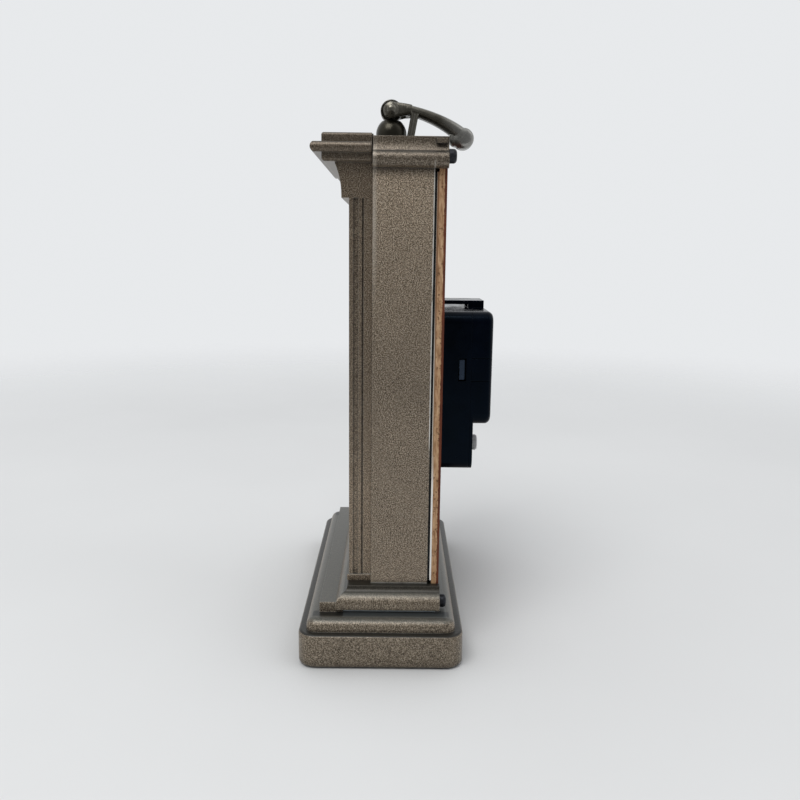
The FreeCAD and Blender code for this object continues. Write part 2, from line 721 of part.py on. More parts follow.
glass_front = seam - cell("glass_thick")
pane_gap = lap + cell("part_clearance")
glass_seat = box("glass_seat", (-window_x - pane_gap, window_x + pane_gap), (glass_front, seam + 1),
                 (centre_z - window_z - pane_gap, centre_z + window_z + pane_gap))
flute_middle = (window_x + cell("window_bevel") + front_x) / 2
pilaster_face = front_x - window_x - cell("window_bevel")
flute_radius = pilaster_face * cell("flute_share")
flute_pitch = pilaster_face * cell("pitch_share")
flute_low = foot_top + cell("flute_foot")
flute_high = frieze_low - cell("flute_head")
flutes = [rod("flute_%d_%d" % (side + 1, k + 1), "z", flute_radius,
              side * (flute_middle + k * flute_pitch), front, flute_low, flute_high - flute_low)
          for side in (-1, 1) for k in (-1, 0, 1)]
groove_z = (block_top, frieze_low)
grooves = []
for side, (x0, x1) in enumerate(((-front_x - 1, 0.8 - front_x), (front_x - 0.8, front_x + 1))):
    grooves.append(box("groove_wide_%d" % side, (x0, x1), (front + 1.4, front + 3), groove_z))
    grooves.append(box("groove_fine_%d" % side, (x0, x1), (front + 4.2, front + 4.7), groove_z))
fascia_solid = cut("fascia_cut", fuse("fascia_outer", frame, base_blocks, frieze, cornice), window,
                   glass_seat,
                   fix_holes("fascia_holes", tight, flange_rear - fix_length - 0.4, seam + 1), *flutes,
                   *grooves)


def window_edge(edge):
    """Tell whether an edge runs round the opening on the fascia's front face."""
    spot = edge.BoundBox
    inside = max(abs(spot.XMin), abs(spot.XMax)) < window_x.value + 0.01
    sill, lintel = centre_z.value - window_z.value, centre_z.value + window_z.value
    level_span = spot.ZMin > sill - 0.01 and spot.ZMax < lintel + 0.01
    return inside and level_span and abs(spot.YMin - front.value) < 1e-6 and spot.YLength < 1e-6


node(bevel("fascia", fascia_solid, cell("window_bevel"), window_edge), "front_fascia")
fix_screw = pan_screw("fascia_screw", fix_length)
node(copies("fascia_screw_set", fix_screw, [(x, flange_rear, z) for x, z in fix_spots],
            Rotation(Vector(1, 0, 0), 90)), "fascia_screws")
node(box("glass_pane", (-window_x - lap, window_x + lap), (glass_front, glass_rear),
         (centre_z - window_z - lap, centre_z + window_z + lap)), "dial_glass")

# Back: fibre panel, printed dial card on its front and the screws whose heads clamp the panel's edges.
bush_hole = cell("bush_radius") + cell("part_clearance")
panel_high = pocket_top - cell("part_clearance")
panel_board = box("panel_board", (-panel_x, panel_x), (panel_front, panel_rear), (panel_low, panel_high))
node(cut("panel_drilled", panel_board, rod("panel_hole", "y", bush_hole, 0, panel_front - 1, centre_z, 6)),
     "back_panel")
card_x = panel_x - 0.3
card_board = box("card_board", (-card_x, card_x), (card_front, panel_front), (foot_top + 1, cap_low - 1))
node(cut("card_drilled", card_board, rod("card_hole", "y", bush_hole, 0, card_front - 1, centre_z, 3)),
     "dial_card")
panel_screw = pan_screw("panel_screw", cell("screw_reach"))
node(copies("panel_screw_set", panel_screw,
            [(side * screw_x, foot_rear, z) for side in (-1, 1) for z in (screw_low, screw_high)],
            Rotation(Vector(1, 0, 0), 90)), "back_panel_screws")

# Handle: a turned post with a pierced eye, and a forked strap with its grip and rest pegs on one rivet.
pivot_z = cap_top + cell("pivot_height")
stud = cell("stud_radius")
eye = cell("eye_radius")
eye_x = cell("eye_thick") / 2
rim_low = cell("post_stem_height") + cell("post_radius") - cell("post_stem")
rim_top = rim_low + cell("post_rim")
dome_top = cell("pivot_height") - cell("boss_radius") - cell("dome_gap")
stud_low = cavity_top - cap_top - cell("nut_thick") - 0.6
post_turned = turned("post_turned", [
    (0, stud_low), (stud, stud_low), (stud, 0), (cell("post_stem"), 0),
    (cell("post_stem"), cell("post_stem_height")), (cell("post_radius"), rim_low),
    (cell("post_radius"), rim_top),
    (cell("post_neck"), dome_top, cell("dome_curve"), 1), (0, dome_top)])
place(post_turned, 0, post_y, cap_top)


def across(name, radius, half):
    """A round bar across the clock through the handle's pivot."""
    return rod(name, "x", radius, -half, post_y, pivot_z, half * 2)


rivet = cell("rivet_radius")
rivet_hole = rivet + cell("fit")
eye_web = box("eye_web", (-eye_x - 2, eye_x + 2), (post_y - eye, post_y + eye),
              (pivot_z - cell("eye_web") / 2, pivot_z + cell("eye_web") / 2))
eye_window = cut("eye_window", across("eye_window_outer", eye - cell("eye_ring"), eye_x + 1),
                 across("eye_window_hub", rivet_hole + cell("eye_hub"), eye_x + 2), eye_web)
node(cut("post_pierced", fuse("post_joined", post_turned, across("eye_disc", eye, eye_x)),
         across("eye_bore", rivet_hole, eye_x + 1), eye_window), "handle_post")
nut_low = cavity_top - cell("nut_thick")
node(cut("stud_nut", hexagon("stud_nut_blank", "z", cell("nut_flats"), 0, post_y, nut_low, cell("nut_thick")),
         rod("stud_nut_thread", "z", stud + cell("fit"), 0, post_y, nut_low - 1, cell("nut_thick") + 2)),
     "post_nut")

strap_x = cell("strap_width") / 2
boss = cell("boss_radius")
grip = cell("grip_radius")
grip_y = post_y + cell("grip_back")
grip_z = pivot_z - cell("grip_drop")


# The strap's upper curve is tangent to the boss and the grip: its centre lies below the pivot.
back = cell("grip_back")
drop = cell("grip_drop")
bow = cell("strap_bow")
reach_sq = derived("grip_reach_squared", back * back + drop * drop)
grip_reach = derived("grip_reach", root(reach_sq))
bow_boss = bow - boss
bow_grip = bow - grip
bow_along = derived("bow_along", (reach_sq + bow_boss * bow_boss - bow_grip * bow_grip) / (grip_reach * 2))
bow_down = derived("bow_down", root(bow_boss * bow_boss - bow_along * bow_along))
bow_y = derived("bow_y", (bow_along * back - bow_down * drop) / grip_reach)
bow_z = derived("bow_z", -(bow_along * drop + bow_down * back) / grip_reach)
strap = prism("strap", "YZ_Plane", [
    (post_y + boss * 0.174, pivot_z - boss * 0.985), (post_y + back * 0.3, pivot_z - boss * 0.38),
    (grip_y - grip * 0.966, grip_z + grip * 0.259, cell("strap_hollow"), -1),
    (grip_y, grip_z - grip, grip, 1),
    (grip_y + grip, grip_z, grip, 1),
    (grip_y + grip * (back - bow_y) / bow_grip, grip_z - grip * (drop + bow_z) / bow_grip, grip, 1),
    (post_y - boss * bow_y / bow_boss, pivot_z - boss * bow_z / bow_boss, bow, 1),
    (post_y - boss, pivot_z, boss, 1),
    (post_y + boss * 0.174, pivot_z - boss * 0.985, boss, 1)][1:], -strap_x, strap_x)
lean = cell("peg_lean")
peg_z = pivot_z + boss * 0.25
peg_down = (peg_z - cap_top - cell("rest_gap") - cell("peg_radius") * sine(lean)) / cosine(lean)
pegs = []
for side in (-1, 1):
    for k in (-0.5, 0.5):
        shift = cell("peg_pitch") * k
        peg = rod("peg_%d_%d" % (side + 1, 2 * k + 1), "z", cell("peg_radius"), side * cell("peg_side"),
                  post_y + cell("peg_place") + shift * cosine(lean), peg_z - shift * sine(lean),
                  peg_down - shift * sine(lean) / cosine(lean))
        peg.Placement = FreeCAD.Placement(peg.Placement.Base, Rotation(Vector(1, 0, 0), 180 - lean.value))
        pegs.append(peg)
curl_x = strap_x - cell("curl_inset")
curl = rod("grip_curl", "x", cell("curl_radius"), -curl_x, grip_y - cell("curl_in"), grip_z, curl_x * 2)
bail = fuse("bail_joined", strap, curl, *pegs)
node(cut("bail", bail, across("fork_slot", eye + cell("fork_gap") * 1.5, eye_x + cell("fork_gap")),
         across("bail_bore", rivet, strap_x + 1)), "handle_bail")
rosette = cell("rosette_radius")
head_top = strap_x + cell("rosette_thick")
rivet_body = turned("rivet_turned", [
    (0, -head_top), (rosette * 0.2, -head_top), (rosette * 0.6, 0.5 - head_top, rosette * 1.2, 1),
    (rosette * 0.6, 0.9 - head_top), (rosette, 1.3 - head_top), (rosette, -strap_x), (rivet, -strap_x),
    (rivet, strap_x), (rosette, strap_x), (rosette, head_top - 1.3), (rosette * 0.6, head_top - 0.9),
    (rosette * 0.6, head_top - 0.5), (rosette * 0.2, head_top, rosette * 1.2, 1), (0, head_top)])
place(rivet_body, 0, post_y, pivot_z, AXIS_TURN["x"])
node(rivet_body, "handle_rivet")

# Movement housing, clamped to the panel by the threaded bush.
move = cell("move_size") / 2
wall = cell("move_wall")
move_front = panel_rear + cell("gasket_thick")
inner = move_front + wall
move_rear = inner + cell("train_room")
cover_rear = move_rear + cell("cover_thick")
bay_rear = cover_rear + cell("bay_thick")
bay_low = centre_z - cell("bay_below")
move_top = centre_z + move
corner = cell("move_corner")
node(cut("gasket_ring", rod("gasket_disc", "y", 14, 0, panel_rear, centre_z, cell("gasket_thick")),
         rod("gasket_hole", "y", bush_hole, 0, panel_rear - 1, centre_z, 4)), "gasket")

# Gears: tooth counts of each wheel and pinion.
CANNON_TEETH = 12
MINUTE_TEETH = 36
MINUTE_PINION_TEETH = 10
HOUR_TEETH = 40
SETTING_TEETH = 13
SECOND_PINION_TEETH = 10
THIRD_TEETH = 75
THIRD_PINION_TEETH = 10
CENTRE_TEETH = 80
DRIVE_PINION_TEETH = 10
SECOND_TEETH = 50
DRIVE_TEETH = 60
ROTOR_PINION_TEETH = 10
WHEEL_ADDENDUM = 0.6
PINION_ADDENDUM = 0.8
DEDENDUM = 1.15
TOOTH_SLACK = 0.2


def involute(angle):
    """The involute function of a pressure angle in radians."""
    return math.tan(angle) - angle


def tooth_points(teeth, module, addendum):
    """Half outline of one tooth: radius and half angle from root to tip, as an involute with slack."""
    pitch_radius = teeth * module / 2
    pressure = math.radians(20)
    base = pitch_radius * math.cos(pressure)
    root = pitch_radius - DEDENDUM * module
    tip = pitch_radius + addendum * module
    half_angle = math.pi / (2 * teeth) - TOOTH_SLACK * module / pitch_radius / 2
    start = max(root, base)
    found = [(root, half_angle + involute(pressure) - (0.1 / teeth if root < base else 0))]
    for step in range(4):
        radius = start + (tip - start) * step / 3
        found.append((radius, half_angle + involute(pressure) - involute(math.acos(base / radius))))
    return found


def gear(teeth, module, addendum, centre, low, high, phase):
    """A spur gear between two depths, with one tooth's middle at the angle phase."""
    corners = []
    flank = tooth_points(teeth, module, addendum)
    for k in range(teeth):
        middle = phase + 2 * math.pi * k / teeth
        for radius, spread in flank:
            corners.append((radius, middle - spread))
        for radius, spread in reversed(flank):
            corners.append((radius, middle + spread))
    ring = [Vector(centre[0] + r * math.cos(a), low, centre[1] + r * math.sin(a)) for r, a in corners]
    face = Part.Face(Part.makePolygon(ring + ring[:1]))
    return face.extrude(Vector(0, high - low, 0))


def meshing(teeth, centre, other_teeth, other_centre, other_phase):
    """The phase that puts a tooth gap of a gear opposite a tooth of the gear that it meets."""
    angle = math.atan2(centre[1] - other_centre[1], centre[0] - other_centre[0])
    share = (angle - other_phase) / (2 * math.pi / other_teeth)
    return angle + math.pi - (2 * math.pi / teeth) * (0.5 - share)


def disc(radius, centre, low, high):
    """A round bar along Y between two depths."""
    return Part.makeCylinder(radius, high - low, Vector(centre[0], low, centre[1]), Vector(0, 1, 0))


def shaped(name, solids, bores=()):
    """A sub-part made from joined solids less bores."""
    shape = solids[0].multiFuse(solids[1:]) if len(solids) > 1 else solids[0]
    for bore in bores:
        shape = shape.cut(bore)
    piece = doc.addObject("Part::Feature", name + "_shape")
    piece.Shape = shape.Solids[0] if len(shape.Solids) == 1 else shape
    return node(piece, name)


def polar(origin, distance, degrees):
    """A point at a distance and an angle from another."""
    turn = math.radians(degrees)
    return origin[0] + distance * math.cos(turn), origin[1] + distance * math.sin(turn)


# Wheel centres across and up, each at the distance that its mesh asks for.
SETTING_ANGLE = -65.5
THIRD_ANGLE = 200
DRIVE_ANGLE = -30
ROTOR_ANGLE = -60
motion = cell("motion_module").value
third_pitch = cell("third_module").value
drive_pitch = cell("drive_module").value
hub = (0.0, centre_z.value)
minute_reach = motion * (CANNON_TEETH + MINUTE_TEETH) / 2
hour_pitch = 2 * minute_reach / (MINUTE_PINION_TEETH + HOUR_TEETH)
minute_at = polar(hub, minute_reach, SETTING_ANGLE)
setting_at = polar(minute_at, motion * (MINUTE_TEETH + SETTING_TEETH) / 2, SETTING_ANGLE)
third_reach = third_pitch * (SECOND_PINION_TEETH + THIRD_TEETH) / 2
centre_pitch = 2 * third_reach / (THIRD_PINION_TEETH + CENTRE_TEETH)
third_at = polar(hub, third_reach, THIRD_ANGLE)
drive_at = polar(hub, drive_pitch * (DRIVE_PINION_TEETH + SECOND_TEETH) / 2, DRIVE_ANGLE)
rotor_at = polar(drive_at, third_pitch * (ROTOR_PINION_TEETH + DRIVE_TEETH) / 2, ROTOR_ANGLE)

# Depths of the train's layers behind the movement case's front wall.
face = inner.value
HOUR_LAYER = (face + 0.25, face + 0.95)
MINUTE_LAYER = (face + 1.35, face + 2.15)
CENTRE_LAYER = (face + 2.8, face + 3.4)
THIRD_LAYER = (face + 3.9, face + 4.4)
SECOND_LAYER = (face + 4.9, face + 5.4)
DRIVE_LAYER = (face + 5.8, face + 6.3)
BRIDGE_LAYER = (inner + 6.7, inner + 7.7)
bridge_low = BRIDGE_LAYER[0]
running = cell("fit").value
pivot = cell("pivot_radius")
stem = cell("stem_radius")


def square(name, inset, low, high):
    """The movement's rounded square, set in from its outline, between two depths."""
    edge = move - inset
    return prism(name, "XZ_Plane", rounded((-edge, edge), (centre_z - edge, centre_z + edge),
                                           corner - inset), low, high)


def pin(name, radius, spot, low, high):
    """A round bar along Y at a wheel's centre."""
    return rod(name, "y", radius, spot[0], low, spot[1], high - low)


bridge_posts = [(hub[0] + x, hub[1] + z) for x, z in ((-19, 7), (19, 6), (-8, -16.3))]
stator_posts = [(hub[0] + x, hub[1] - 22) for x in (-21.3, 15.6)]
STATOR_LAYER = (inner + 3.6, inner + 4.6)
case_posts = [pin("bridge_post_%d" % i, 1.4, spot, inner - 0.5, bridge_low)
              for i, spot in enumerate(bridge_posts)]
case_posts += [pin("stator_post_%d" % i, 1.2, spot, inner - 0.5, STATOR_LAYER[0])
               for i, spot in enumerate(stator_posts)]
case_posts.append(pin("minute_stud", stem, minute_at, inner - 0.5, inner + 2.6))
pivot_holes = [pin("third_hole", pivot + cell("fit"), third_at, inner - 1, inner + 0.1),
               pin("stem_hole", stem + cell("fit"), setting_at, inner - 1, inner + 0.1),
               pin("bush_seat", cell("bush_radius") + cell("fit"), hub, move_front - 1, inner + 1)]
latch_z = (centre_z + 4, centre_z + 12)
latches = [box("latch_%d" % i, x, (inner + 4, inner + 6.6), latch_z)
           for i, x in enumerate(((-move - 1, wall + 0.5 - move), (move - wall - 0.5, move + 1)))]
move_tub = cut("move_tub", square("move_outer", 0, move_front, move_rear),
               square("move_inner", wall, inner, move_rear + 1))
node(cut("move_case", fuse("move_posted", move_tub, *case_posts), *pivot_holes, *latches), "movement_case")

cell_r = cell("cell_radius")
room = cell("cell_room")
cell_z = centre_z + cell("cell_rise")
cell_y = bay_rear - cell_r + room
cell_x = cell("cell_length") / 2
well_x = cell_x + 0.1 + cell("contact_thick") + 0.1
well_r = cell_r + room
trough_r = well_r + 0.9
bay = prism("bay", "XZ_Plane", rounded((-move, move), (bay_low, move_top), corner), cover_rear - 0.1,
            bay_rear)
tips(bay, 2, lambda edge: edge.BoundBox.YMin > bay_rear.value - 1e-6)
trough_x = well_x + cell("cell_room") * 2
trough_block = box("trough_block", (-trough_x, trough_x), (cell_y - trough_r + 0.1, cover_rear),
                   (cell_z - trough_r, cell_z + trough_r))
trough_limit = square("trough_limit", wall + cell("part_clearance"), inner + 0.2, cover_rear)
trough = common("trough", trough_block, trough_limit)
well = prism("well", "XZ_Plane", rounded((-well_x, well_x), (cell_z - well_r, cell_z + well_r), 1),
             cell_y - well_r, bay_rear + 1)
bay_hollow = box("bay_hollow", (wall * 2 - move, move - wall * 2), (move_rear - 0.1, bay_rear - wall),
                 (bay_low + wall, cell_z - trough_r - 0.1))
hang_x = cell("hanger_width") / 2
hang_low = move_top + cell("hanger_gap")
hang_front = move_front + 0.8
hang_rear = cover_rear + cell("hanger_back")
hang_bar = box("hanger_bar", (-hang_x, hang_x), (hang_front, hang_rear),
               (hang_low, hang_low + cell("hanger_bar")))
legs = [box("hanger_leg_%d" % i, x, (move_rear + 0.1, hang_rear), (move_top - 2, hang_low + 0.2))
        for i, x in enumerate(((-hang_x, 1.6 - hang_x), (hang_x - 1.6, hang_x)))]
tabs = []
for i, (arm_x, hook_x) in enumerate((((wall + 0.1 - move, wall + 1.2 - move),
                                      (0.4 - move, wall + 1.2 - move)),
                                     ((move - wall - 1.2, move - wall - 0.1),
                                      (move - wall - 1.2, move - 0.4)))):
    tabs.append(box("tab_arm_%d" % i, arm_x, (inner + 4.3, move_rear + 0.5),
                    (centre_z + 4.5, centre_z + 11.5)))
    tabs.append(box("tab_hook_%d" % i, hook_x, (inner + 4.3, inner + 6.3), (centre_z + 4.5, centre_z + 11.5)))
line = cell("tongue_line")
tongue_lines = [box("tongue_line_%d_%d" % (i, j), x, (move_rear - 1, bay_rear + 1),
                    (z - line / 2, z + line / 2))
                for i, x in enumerate(((-move - 1, line - move), (move - line, move + 1)))
                for j, z in enumerate(latch_z)]
plate = square("cover_plate", 0, move_rear, cover_rear)
node(cut("cover", fuse("cover_joined", plate, bay, trough, hang_bar, *legs, *tabs), well, bay_hollow,
         *tongue_lines,
         pin("cover_stem_hole", stem + cell("fit"), setting_at, move_rear - 1, cover_rear + 1)),
     "movement_cover")

# Fixing hardware round the hand centre.
bush_front = card_front - cell("bush_reach")
pipe_hole = cell("hour_outer") + cell("fit")
node(cut("bush_bored", pin("bush_blank", cell("bush_radius"), hub, bush_front, inner),
         pin("bush_bore", pipe_hole, hub, bush_front - 1, inner + 1)), "centre_bush")
washer_front = card_front - cell("washer_thick")
thread = cell("bush_radius") + cell("fit")
node(cut("washer_ring", pin("washer_disc", 7, hub, washer_front, card_front),
         pin("washer_hole", thread, hub, washer_front - 1, card_front + 1)), "centre_washer")
nut_front = washer_front - cell("hex_thick")
node(cut("hex_bored", hexagon("hex_blank", "y", cell("hex_flats"), 0, nut_front, centre_z, cell("hex_thick")),
         pin("hex_hole", thread, hub, nut_front - 1, washer_front + 1)), "centre_nut")

# Battery cell with its raised end, and the contacts at both ends of the well.
nub = 1.2
node(fuse("cell_joined", rod("cell_can", "x", cell_r, -cell_x, cell_y, cell_z, cell("cell_length") - nub),
          rod("cell_nub", "x", 2.7, cell_x - nub - 0.1, cell_y, cell_z, nub + 0.1)), "battery_cell")
contact = cell("contact_thick")
for word, x0 in (("negative", -well_x), ("positive", well_x - contact)):
    node(box("contact_" + word, (x0, x0 + contact), (cell_y - cell_r, cell_y + 4), (cell_z - 4, cell_z + 4)),
         "battery_contact_" + word)

# Bridge that carries the rear pivots, and the drive: circuit board, stator on its core and the coil.
bridge_plate = box("bridge_plate", (-21, 21), BRIDGE_LAYER, (centre_z - 18, centre_z + 9))
studs = [pin("drive_stud", pivot, drive_at, inner + 4.6, bridge_low + 0.2),
         pin("rotor_stud", pivot, rotor_at, inner + 2.8, bridge_low + 0.2)]
bridge_holes = [pin("bridge_third", pivot + cell("fit"), third_at, bridge_low - 1, bridge_low + 2),
                pin("bridge_second", cell("second_arbor") + cell("fit"), hub, bridge_low - 1, bridge_low + 2)]
node(cut("bridge_drilled", fuse("bridge_studded", bridge_plate, *studs), *bridge_holes), "train_bridge")
board = box("board", (-25, -10.5), (inner, inner + 1), (centre_z - 18.3, centre_z - 13.4))
chip = box("chip", (-16, -12), (inner + 0.9, inner + 2), (centre_z - 17.6, centre_z - 14))
crystal = rod("crystal", "x", 1, -24, inner + 1.9, centre_z - 15.8, 6)
node(fuse("board_loaded", board, chip, crystal), "circuit_board")
core_z = centre_z - 22
core_y = inner + 4.1
stator_plate = box("stator_plate", (2.5, 17), STATOR_LAYER, (centre_z - 25, centre_z - 7.7))
stator_core = box("stator_core", (-22.6, 2.6), STATOR_LAYER, (core_z - 0.8, core_z + 0.8))
node(cut("stator_cut", fuse("stator_blank", stator_plate, stator_core),
         pin("rotor_window", 3.3, rotor_at, inner + 3, inner + 6),
         pin("stem_window", stem + 0.9, setting_at, inner + 3, inner + 6)),
     "stator")
winding = rod("winding", "x", 2.6, -19, core_y, core_z, 15)
flanges = [rod("coil_flange_%d" % i, "x", 2.9, x, core_y, core_z, 1) for i, x in enumerate((-20, -4))]
node(cut("coil_bored", fuse("coil_wound", winding, *flanges),
         box("coil_bore", (-21, -2), (STATOR_LAYER[0] - 0.05, STATOR_LAYER[1] + 0.05),
             (core_z - 0.85, core_z + 0.85))), "drive_coil")

# Motion work: minute tube with the cannon pinion, minute wheel, hour wheel and setting stem.
thick = cell("hand_thick")
hour_y = bush_front - 0.5 - thick
minute_y = hour_y - cell("hand_step")
second_y = minute_y - cell("hand_step")
hand_proud = 0.3
tube_r = cell("minute_outer").value
pipe_r = cell("hour_outer").value
arbor_r = cell("second_arbor").value
journal_r = tube_r - 0.25
cannon_phase = math.radians(90)
minute_phase = meshing(MINUTE_TEETH, minute_at, CANNON_TEETH, hub, cannon_phase)
setting_phase = meshing(SETTING_TEETH, setting_at, MINUTE_TEETH, minute_at, minute_phase)
hour_phase = meshing(HOUR_TEETH, hub, MINUTE_PINION_TEETH, minute_at, minute_phase)
tube_front = minute_y.value - hand_proud
shaped("minute_tube",
       [disc(tube_r, hub, tube_front, face + 2.5), disc(journal_r, hub, face + 2.4, face + 3.6),
        gear(CANNON_TEETH, motion, PINION_ADDENDUM, hub, *MINUTE_LAYER, cannon_phase)],
       [disc(arbor_r + running, hub, tube_front - 1, face + 5)])
shaped("minute_wheel", [gear(MINUTE_TEETH, motion, WHEEL_ADDENDUM, minute_at, *MINUTE_LAYER, minute_phase),
                        gear(MINUTE_PINION_TEETH, hour_pitch, PINION_ADDENDUM, minute_at, face + 0.2,
                             face + 1.4, minute_phase)],
       [disc(stem.value + running, minute_at, face - 1, face + 4)])
pipe_front = hour_y.value - hand_proud
shaped("hour_wheel", [gear(HOUR_TEETH, hour_pitch, WHEEL_ADDENDUM, hub, *HOUR_LAYER, hour_phase),
                      disc(pipe_r, hub, pipe_front, HOUR_LAYER[1])],
       [disc(tube_r + running, hub, pipe_front - 1, face + 2)])
knob_front = cover_rear.value + 0.3
knob_rear = cover_rear.value + cell("knob_stand").value
shaped("setting_stem",
       [gear(SETTING_TEETH, motion, PINION_ADDENDUM, setting_at, MINUTE_LAYER[0] - 0.1, MINUTE_LAYER[1] + 0.1,
             setting_phase),
        disc(stem.value, setting_at, face - 0.9, knob_rear - 0.8)])
knob_r = cell("knob_radius").value
KNURLS = 18
ribs = gear(KNURLS, 2 * knob_r / KNURLS, 0, setting_at, knob_front, knob_rear - 0.4, 0)
shaped("setting_knob", [disc(knob_r - 0.3, setting_at, knob_front, knob_rear), ribs],
       [disc(stem.value, setting_at, knob_front - 1, knob_rear - 0.8)])

# Going train: rotor, intermediate wheel, second wheel, third wheel and centre wheel.
second_phase = math.radians(90)
third_phase = meshing(THIRD_TEETH, third_at, SECOND_PINION_TEETH, hub, second_phase)
centre_phase = meshing(CENTRE_TEETH, hub, THIRD_PINION_TEETH, third_at, third_phase)
drive_phase = meshing(DRIVE_PINION_TEETH, drive_at, SECOND_TEETH, hub, second_phase)
rotor_phase = meshing(ROTOR_PINION_TEETH, rotor_at, DRIVE_TEETH, drive_at, drive_phase)
arbor_front = second_y.value - hand_proud
shaped("second_wheel", [disc(arbor_r, hub, arbor_front, face + 7.6),
                        gear(SECOND_PINION_TEETH, third_pitch, PINION_ADDENDUM, hub, face + 3.8, face + 4.5,
                             second_phase),
                        gear(SECOND_TEETH, drive_pitch, WHEEL_ADDENDUM, hub, *SECOND_LAYER, second_phase)])
shaped("third_wheel", [disc(pivot.value, third_at, face - 0.9, face + 7.6),
                       gear(THIRD_TEETH, third_pitch, WHEEL_ADDENDUM, third_at, *THIRD_LAYER, third_phase),
                       gear(THIRD_PINION_TEETH, centre_pitch, PINION_ADDENDUM, third_at, face + 2.7,
                            face + 3.5, third_phase)])
shaped("centre_wheel", [gear(CENTRE_TEETH, centre_pitch, WHEEL_ADDENDUM, hub, *CENTRE_LAYER, centre_phase)],
       [disc(journal_r + running, hub, face, face + 6)])
shaped("intermediate_wheel",
       [gear(DRIVE_PINION_TEETH, drive_pitch, PINION_ADDENDUM, drive_at, face + 4.8, face + 5.9, drive_phase),
        gear(DRIVE_TEETH, third_pitch, WHEEL_ADDENDUM, drive_at, *DRIVE_LAYER, drive_phase)],
       [disc(pivot.value + running, drive_at, face, face + 8)])
shaped("rotor", [disc(2.6, rotor_at, face + 2.9, face + 5.2), disc(1, rotor_at, face + 5.1, face + 5.8),
                 gear(ROTOR_PINION_TEETH, third_pitch, PINION_ADDENDUM, rotor_at, face + 5.7, face + 6.4,
                      rotor_phase)],
       [disc(pivot.value + running, rotor_at, face, face + 8)])


# Hands: each drawn pointing up about its own centre, then turned to about nine minutes past ten.
def hand(name, outline, hub_radius, bore, depth, degrees):
    """A flat hand with a round boss, bored for its pipe and turned clockwise as seen from the front."""
    blade = prism(name + "_blade", "XZ_Plane", outline, 0, thick)
    boss = rod(name + "_boss", "y", hub_radius, 0, 0, 0, thick)
    piece = cut(name + "_cut", fuse(name + "_joined", blade, boss),
                rod(name + "_bore", "y", bore, 0, -1, 0, 3))
    place(piece, 0, depth, centre_z, Rotation(Vector(0, 1, 0), degrees))
    return node(piece, name)


def spade(length, width):
    """Outline of a spade hand with a short tail."""
    return mirrored([(width * 0.35, -width * 2), (width * 0.45, length * 0.55),
                     (width * 1.3, length * 0.68, width * 2.2, -1),
                     (width * 0.3, length * 0.86, width * 4, 1), (0.08, length)])


HOUR_TURN = 304.5
MINUTE_TURN = 54
SECOND_TURN = 215
hand("hour_hand", spade(cell("hour_length"), 1.9), 3.4, cell("hour_outer"), hour_y, HOUR_TURN)
hand("minute_hand", spade(cell("minute_length"), 1.6), 2.7, cell("minute_outer"), minute_y, MINUTE_TURN)
second_outline = mirrored([(0.7, -8), (0.3, cell("second_length") * 0.2), (0.15, cell("second_length"))])
hand("second_hand", second_outline, 1.6, cell("second_arbor"), second_y, SECOND_TURN)

doc.recompute()

faults = []
for thing in doc.Objects:
    if "Invalid" in thing.State or "Error" in thing.State:
        faults.append("%s: %s" % (thing.Name, thing.State))
for piece in nodes:
    if piece.Shape.isNull() or not piece.Shape.isValid():
        faults.append("%s has no valid shape" % piece.Label)
if faults:
    raise RuntimeError("; ".join(faults))

os.makedirs("parts", exist_ok=True)
for piece in nodes:
    piece.Shape.exportStep("parts/%s.step" % piece.Label)
    print("%-26s %d solid(s) %10.1f mm3" % (piece.Label, len(piece.Shape.Solids), piece.Shape.Volume))
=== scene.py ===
import math

import bmesh
import bpy
import numpy as np
from mathutils import Matrix


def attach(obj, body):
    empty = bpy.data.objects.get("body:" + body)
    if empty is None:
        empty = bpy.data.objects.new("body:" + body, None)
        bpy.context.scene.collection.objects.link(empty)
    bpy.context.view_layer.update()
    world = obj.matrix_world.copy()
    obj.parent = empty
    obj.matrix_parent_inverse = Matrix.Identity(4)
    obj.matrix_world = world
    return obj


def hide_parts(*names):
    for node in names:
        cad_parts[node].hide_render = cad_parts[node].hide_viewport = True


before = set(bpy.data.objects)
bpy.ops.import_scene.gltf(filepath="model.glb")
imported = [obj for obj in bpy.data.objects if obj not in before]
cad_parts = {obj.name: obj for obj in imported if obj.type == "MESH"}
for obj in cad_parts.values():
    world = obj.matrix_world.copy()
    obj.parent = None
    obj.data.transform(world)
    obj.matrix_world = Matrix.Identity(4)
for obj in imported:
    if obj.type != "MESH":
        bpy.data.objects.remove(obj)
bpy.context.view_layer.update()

# Base felt: a thin sheet of dark green wool felt, glued into a shallow recess under the plinth so that
# the clock stands softly. Only its edge shows.


def tone(red, green, blue):
    """A colour as the eye reads it, 0 to 255, turned into linear light: each channel to the power 2.2."""
    return tuple((np.array([red, green, blue]) / 255) ** 2.2) + (1.0,)


def finish(name, roughness, metallic=0.0):
    """A new finish: its tree, its shader with two plain settings, and the part's own coordinates."""
    made = bpy.data.materials.new(name)
    made.use_nodes = True
    tree = made.node_tree
    shader = tree.nodes["Principled BSDF"]
    shader.inputs["Roughness"].default_value = roughness
    shader.inputs["Metallic"].default_value = metallic
    where = tree.nodes.new("ShaderNodeTexCoord").outputs["Object"]
    return made, tree, shader, where


def cloud(tree, where, size, detail=3.0, stretch=None):
    """A cloud pattern whose spots are about size across, drawn out where stretch is below one."""
    if stretch:
        drawn = tree.nodes.new("ShaderNodeMapping")
        drawn.inputs["Scale"].default_value = stretch
        tree.links.new(where, drawn.inputs["Vector"])
        where = drawn.outputs["Vector"]
    spots = tree.nodes.new("ShaderNodeTexNoise")
    spots.inputs["Scale"].default_value = 1 / size
    spots.inputs["Detail"].default_value = detail
    tree.links.new(where, spots.inputs["Vector"])
    return spots.outputs["Fac"]


